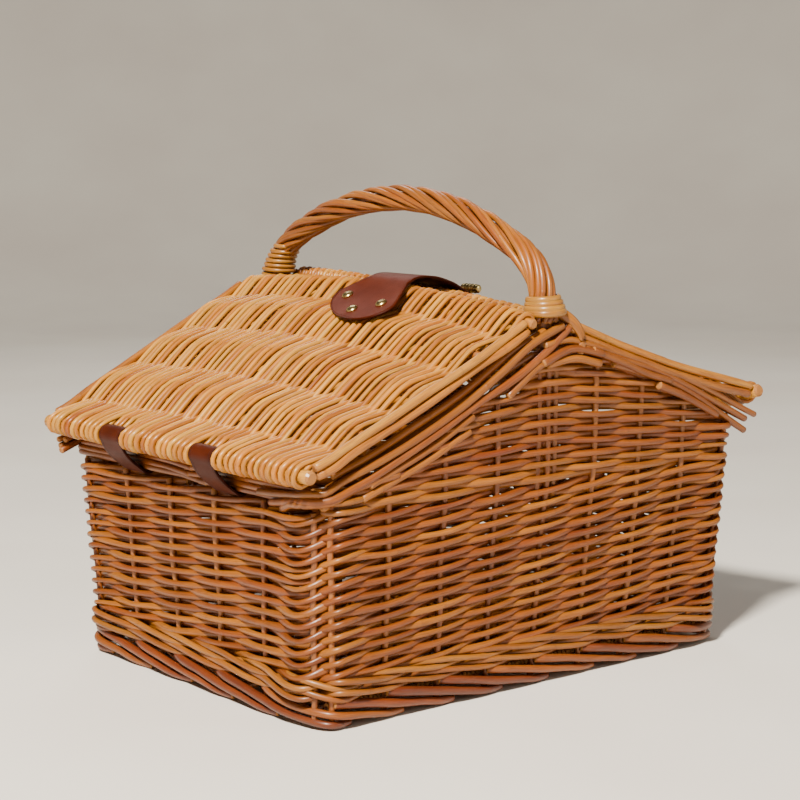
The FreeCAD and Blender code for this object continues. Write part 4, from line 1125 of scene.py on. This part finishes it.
def make_closing_strap():
    """One piece of leather: a round tongue on the left lid, a neck over the ridge, and the slotted flap."""
    strap_line = StrapLine()
    from_tip = TONGUE_REACH * (1 - np.cos(np.linspace(0, math.pi / 2, 24)))
    round_from = strap_line.end - NECK_HALF
    to_end = NECK_HALF * (1 - np.sin(np.linspace(0, math.pi / 2, 14)[1:]))
    rows = np.concatenate([from_tip - TONGUE_REACH, np.linspace(0, round_from, 60)[1:],
                           strap_line.end - to_end])
    holes = [strap_line.hole(along) for along in rows]
    points, edge, index = [], [], {}

    def corner(row, side, column, layer):
        key = (row, side if holes[row] > 0 or column > 0 else 0, column, layer)
        if key not in index:
            along, hole, half = rows[row], holes[row], strap_line.half(rows[row])
            across = hole + (half - hole) * column / STRAP_COLUMNS
            across -= STRAP_CHAMFER if column == STRAP_COLUMNS and layer else 0
            index[key] = len(points)
            points.append(strap_line.point(along, side * across, layer * LEATHER / 2))
            reach = [half - across, along + TONGUE_REACH + 0.3, strap_line.end - along + 0.3]
            edge.append(min(reach + ([across - hole + 0.8] if hole > 0 else [])))
        return index[key]

    faces = []
    for turn, corners in strap_faces(len(rows), holes):
        face = list(dict.fromkeys(corner(*key) for key in corners))
        if len(face) > 2:
            faces.append(face[::turn])
    strap = mesh_object("closing_strap_leather", points, faces, LEATHER_TAN, "leather_tan", None,
                        ["closing_strap_base", "closing_strap_flap"])
    set_edge(strap, edge)
    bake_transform(strap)
    return strap_line


# ---- brass -------------------------------------------------------------------------------------------
def turned(profile, segments=28):
    """Points and faces of a shape turned on a lathe: (radius, height) pairs, from axis to axis."""
    points, faces = [], []
    for radius, height in profile:
        for i in range(segments):
            angle = 2 * math.pi * i / segments
            points.append((radius * math.cos(angle), radius * math.sin(angle), height))
    for k in range(len(profile) - 1):
        for i in range(segments):
            j = (i + 1) % segments
            a, b = k * segments, (k + 1) * segments
            faces.append((a + i, a + j, b + j, b + i))
    faces.append(tuple(range(segments))[::-1])
    faces.append(tuple(range((len(profile) - 1) * segments, len(profile) * segments)))
    return np.array(points), faces


def frame_at(origin, axis):
    """Matrix that stands a turned shape's height along an axis at a place."""
    return Matrix.Translation(Vector(origin)) @ Vector(axis).to_track_quat("Z", "Y").to_matrix().to_4x4()


def gathered(name, parts, slot, body, nodes):
    """One brass piece from turned or plated parts, each a (points, faces, matrix)."""
    points, faces = [], []
    for part_points, part_faces, matrix in parts:
        first = len(points)
        points += [tuple(matrix @ Vector(p)) for p in part_points]
        faces += [tuple(first + i for i in face) for face in part_faces]
    return mesh_object(name, points, faces, BRASS, slot, body, nodes)


def dome(radius, height, shank, depth):
    """Profile of a domed rivet head with a rolled rim, on a shank that goes down by depth."""
    profile = [(0.01, -depth), (shank, -depth), (shank, 0.0), (radius * 0.93, 0.0), (radius, height * 0.14),
               (radius * 0.98, height * 0.3)]
    for share in np.linspace(0.15, 1, 7):
        angle = share * math.pi / 2
        profile.append((radius * 0.93 * math.cos(angle) + 0.01, height * (0.3 + 0.7 * math.sin(angle))))
    return profile


def lid_axis(side):
    """Direction straight out of a lid's upper face."""
    return (side * LID_OUT[0], 0.0, LID_OUT[1])


CAP_RADIUS = 4.6                # of the closing strap's rivets
CAP_HEIGHT = 2.4
SHANK_RADIUS = 2.0
STRAP_RIVETS = ((11.5, 0.0), (26.0, 24.0), (26.0, -24.0))   # from the tongue's tip, and across the strap
HEAD_RADIUS = 4.0               # of the hinge straps' rivets
HEAD_HEIGHT = 1.2


def make_strap_rivets(strap_line):
    """Three domed cap rivets through the tongue, with washers inside the lid."""
    parts = []
    cap = turned(dome(CAP_RADIUS, CAP_HEIGHT, SHANK_RADIUS, 2 * STRAP_LIFT))
    washer = turned([(0.01, 1.0), (CAP_RADIUS, 1.0), (CAP_RADIUS, 0.2), (CAP_RADIUS - 0.4, 0.0), (0.01, 0.0)])
    for from_tip, across in STRAP_RIVETS:
        along = from_tip - TONGUE_REACH
        head = strap_line.point(along, across, LEATHER / 2 - 0.1)
        back = strap_line.point(along, across, -2 * STRAP_LIFT + 0.5)
        parts.append((*cap, frame_at(head, lid_axis(-1))))
        parts.append((*washer, frame_at(back, lid_axis(-1))))
    gathered("closing_strap_rivet_brass", parts, "brass", "lid_left", ["closing_strap_rivets"])


def make_hinge_rivets():
    """The rivets that close the hinge straps, with a flat dome on both sides."""
    rivet = turned(dome(HEAD_RADIUS, HEAD_HEIGHT, SHANK_RADIUS, LEATHER))
    for side in ("left", "right"):
        parts = []
        low, high = cad_box("hinge_rivets_" + side)
        for y in HINGE_Y:
            centre = ((low[0] + high[0]) / 2, y, (low[2] + high[2]) / 2)
            for sign in (-1, 1):
                axis = (sign, 0, 0)
                head = np.array(centre) + np.array(axis) * LEATHER
                parts.append((*rivet, frame_at(head, axis)))
        gathered("hinge_rivet_brass_" + side, parts, "brass", "tub", ["hinge_rivets_" + side])


PLATE_SIZE = (30.0, 17.0, 1.0)  # of the turn-lock: length along the ridge, width, thickness
TACK_OFFSET = 11.0              # of the plate's tacks from its middle
BARREL_RADIUS = 3.75
BARREL_HALF = 9.5               # half of the barrel's length
BARREL_GROOVES = 5
BARREL_LIFT = 13.5              # of the barrel's axis over the plate's foot


def on_lock(y, lift):
    """Place over the turn-lock's middle line, lift above the plate's foot."""
    return lid_points(1, [LOCK_S], y, PLATE_LIFT + lift)[0]


def make_lock_plate():
    """Oval brass plate on the right lid, slightly domed."""
    length, width, thickness = PLATE_SIZE
    outline = []
    for start, centre in ((0, (length - width) / 2), (180, -(length - width) / 2)):
        for angle in np.radians(np.linspace(start, start + 180, 19)):
            outline.append((width / 2 * math.cos(angle), centre + width / 2 * math.sin(angle)))
    points, faces = [], []
    layers = ((1.0, 0.0), (1.0, thickness * 0.6), (0.95, thickness), (0.0, thickness * 1.15))
    for scale, height in layers:
        for x, y in outline:
            inset = (1 - scale) * math.copysign(width / 2, y)
            points.append((x * scale, y - inset if scale else 0.0, height))
    count = len(outline)
    for k in range(len(layers) - 1):
        for i in range(count):
            j = (i + 1) % count
            faces.append((k * count + i, k * count + j, (k + 1) * count + j, (k + 1) * count + i))
    faces.append(tuple(range(count))[::-1])
    tilt = Matrix.Rotation(math.atan2(LID_RISE, LID_RUN), 4, "Y")
    stand = Matrix.Translation(Vector(on_lock(0, 0.0))) @ tilt
    gathered("turnlock_plate_brass", [(points, faces, stand)], "brass", "lid_right", ["turnlock_plate"])


def make_lock_tacks():
    """Two tacks that hold the plate on the lid."""
    tack = turned(dome(2.2, 0.9, 1.4, 16.0), 18)
    tacks = [(*tack, frame_at(on_lock(y, PLATE_SIZE[2]), lid_axis(1))) for y in (-TACK_OFFSET, TACK_OFFSET)]
    gathered("turnlock_tack_brass", tacks, "brass", "lid_right", ["turnlock_tacks"])


def make_lock_toggle():
    """Grooved barrel on the stem that it turns on."""
    radius, half = BARREL_RADIUS, BARREL_HALF
    barrel = [(0.01, -half), (radius * 0.6, -half), (radius * 0.9, -half + 0.8)]
    for y in np.linspace(-half + 1, half - 1, 61):
        wave = math.cos(2 * math.pi * BARREL_GROOVES * (y + half) / (2 * half))
        barrel.append((radius * (0.9 + 0.1 * wave), y))
    barrel += [(radius * 0.9, half - 0.8), (radius * 0.6, half), (0.01, half)]
    stem = [(0.01, 0.0), (3.0, 0.0), (3.0, 0.8), (1.8, 1.6), (1.8, 12.0), (0.01, 12.0)]
    parts = [(*turned(barrel), frame_at(on_lock(0, BARREL_LIFT), ALONG_Y)),
             (*turned(stem), frame_at(on_lock(0, PLATE_SIZE[2] + 0.3), lid_axis(1)))]
    gathered("turnlock_toggle_brass", parts, "brass", "turnlock", ["turnlock_toggle"])


# ---- floor, light and camera ---------------------------------------------------------------------
CAMERA_PLACE = (-0.959, -1.189, 0.397)
CAMERA_HEADING = 38.76          # degrees from +Y towards +X
CAMERA_DIP = 7.65
CAMERA_ROLL = 0.38
CAMERA_LENS = 90.45
FLOOR_FLAT = 2.6                # radius of the flat floor, in metres, before it curves up
FLOOR_CURVE = 0.42


def make_floor():
    """Pale floor, which curves up far behind into a backdrop."""
    nodes = Nodes("studio_floor_finish")
    place = nodes.node("ShaderNodeTexCoord").outputs["Object"]
    cloud = nodes.noise(place, 3.0, 3.0)
    colour = nodes.ramp(cloud, (0.3, linear(0.87, 0.84, 0.80)), (0.7, linear(0.90, 0.88, 0.84)))
    nodes.feed(nodes.shader, "Base Color", colour)
    nodes.feed(nodes.shader, "Roughness", nodes.ramp(nodes.noise(place, 9.0), (0.3, 0.75), (0.7, 0.85)))
    radii = np.concatenate([[0.15, 0.4, 0.8], np.linspace(1.4, 5.6, 22)])
    turns = 48
    points = [(0.0, 0.0, 0.0)]
    for radius in radii:
        height = FLOOR_CURVE * max(0.0, radius - FLOOR_FLAT) ** 2
        for angle in np.arange(turns) * 2 * math.pi / turns:
            points.append((radius * math.cos(angle), radius * math.sin(angle), height))
    faces = [(0, 1 + i, 1 + (i + 1) % turns) for i in range(turns)]
    for ring in range(len(radii) - 1):
        for i in range(turns):
            j = (i + 1) % turns
            a, b = 1 + ring * turns, 1 + (ring + 1) * turns
            faces.append((a + i, b + i, b + j, a + j))
    mesh = bpy.data.meshes.new("floor")
    mesh.from_pydata(points, [], faces)
    mesh.polygons.foreach_set("use_smooth", [True] * len(mesh.polygons))
    mesh.materials.append(nodes.material)
    floor = bpy.data.objects.new("floor", mesh)
    bpy.context.scene.collection.objects.link(floor)


def add_light(name, place, target, size, watts, colour):
    """Round area light that points at a target. Places and sizes are metres here."""
    light = bpy.data.lights.new(name, "AREA")
    light.shape = "DISK"
    light.size = size
    light.energy = watts
    light.color = colour
    lamp = bpy.data.objects.new(name, light)
    lamp.location = place
    lamp.rotation_euler = (Vector(target) - Vector(place)).to_track_quat("-Z", "Y").to_euler()
    bpy.context.scene.collection.objects.link(lamp)


def make_studio():
    """Floor, a key light high on the left, weak light from the front and back, and a dim sky."""
    make_floor()
    target = (0, 0, 0.12)
    add_light("key_light", (-1.6, -1.1, 2.1), target, 0.35, 235, (1.0, 0.94, 0.84))
    add_light("fill_light", (1.3, -2.0, 1.0), target, 1.2, 9, (1.0, 0.97, 0.94))
    add_light("back_light", (0.9, 1.6, 1.7), target, 1.0, 12, (1.0, 0.98, 0.95))
    world = bpy.data.worlds.new("studio")
    world.use_nodes = True
    background = world.node_tree.nodes["Background"]
    background.inputs["Color"].default_value = (0.92, 0.95, 1.0, 1)
    background.inputs["Strength"].default_value = 0.08
    bpy.context.scene.world = world


def make_camera():
    """Camera that looks at the corner between the left wall and the front gable."""
    camera = bpy.data.objects.new("camera", bpy.data.cameras.new("camera"))
    camera.data.lens = CAMERA_LENS
    camera.data.sensor_width = 36.0
    camera.location = CAMERA_PLACE
    heading = Matrix.Rotation(math.radians(-CAMERA_HEADING), 4, "Z")
    dip = Matrix.Rotation(math.radians(90 - CAMERA_DIP), 4, "X")
    roll = Matrix.Rotation(math.radians(-CAMERA_ROLL), 4, "Z")
    camera.rotation_euler = (heading @ dip @ roll).to_euler()
    bpy.context.scene.collection.objects.link(camera)
    bpy.context.scene.camera = camera


def main():
    make_camera()
    make_stakes()
    make_walls()
    make_wale()
    make_foot_border()
    make_base()
    make_eave_borders()
    make_front_borders()
    make_back_borders()
    make_lid(-1, "left")
    make_lid(1, "right")
    make_handle()
    make_front_binding()
    make_back_binding()
    for side, sign in (("left", -1), ("right", 1)):
        for place in ("back", "front"):
            make_hinge_strap(side, sign, place)
    make_strap_rivets(make_closing_strap())
    make_hinge_rivets()
    make_lock_plate()
    make_lock_tacks()
    make_lock_toggle()
    make_studio()


main()
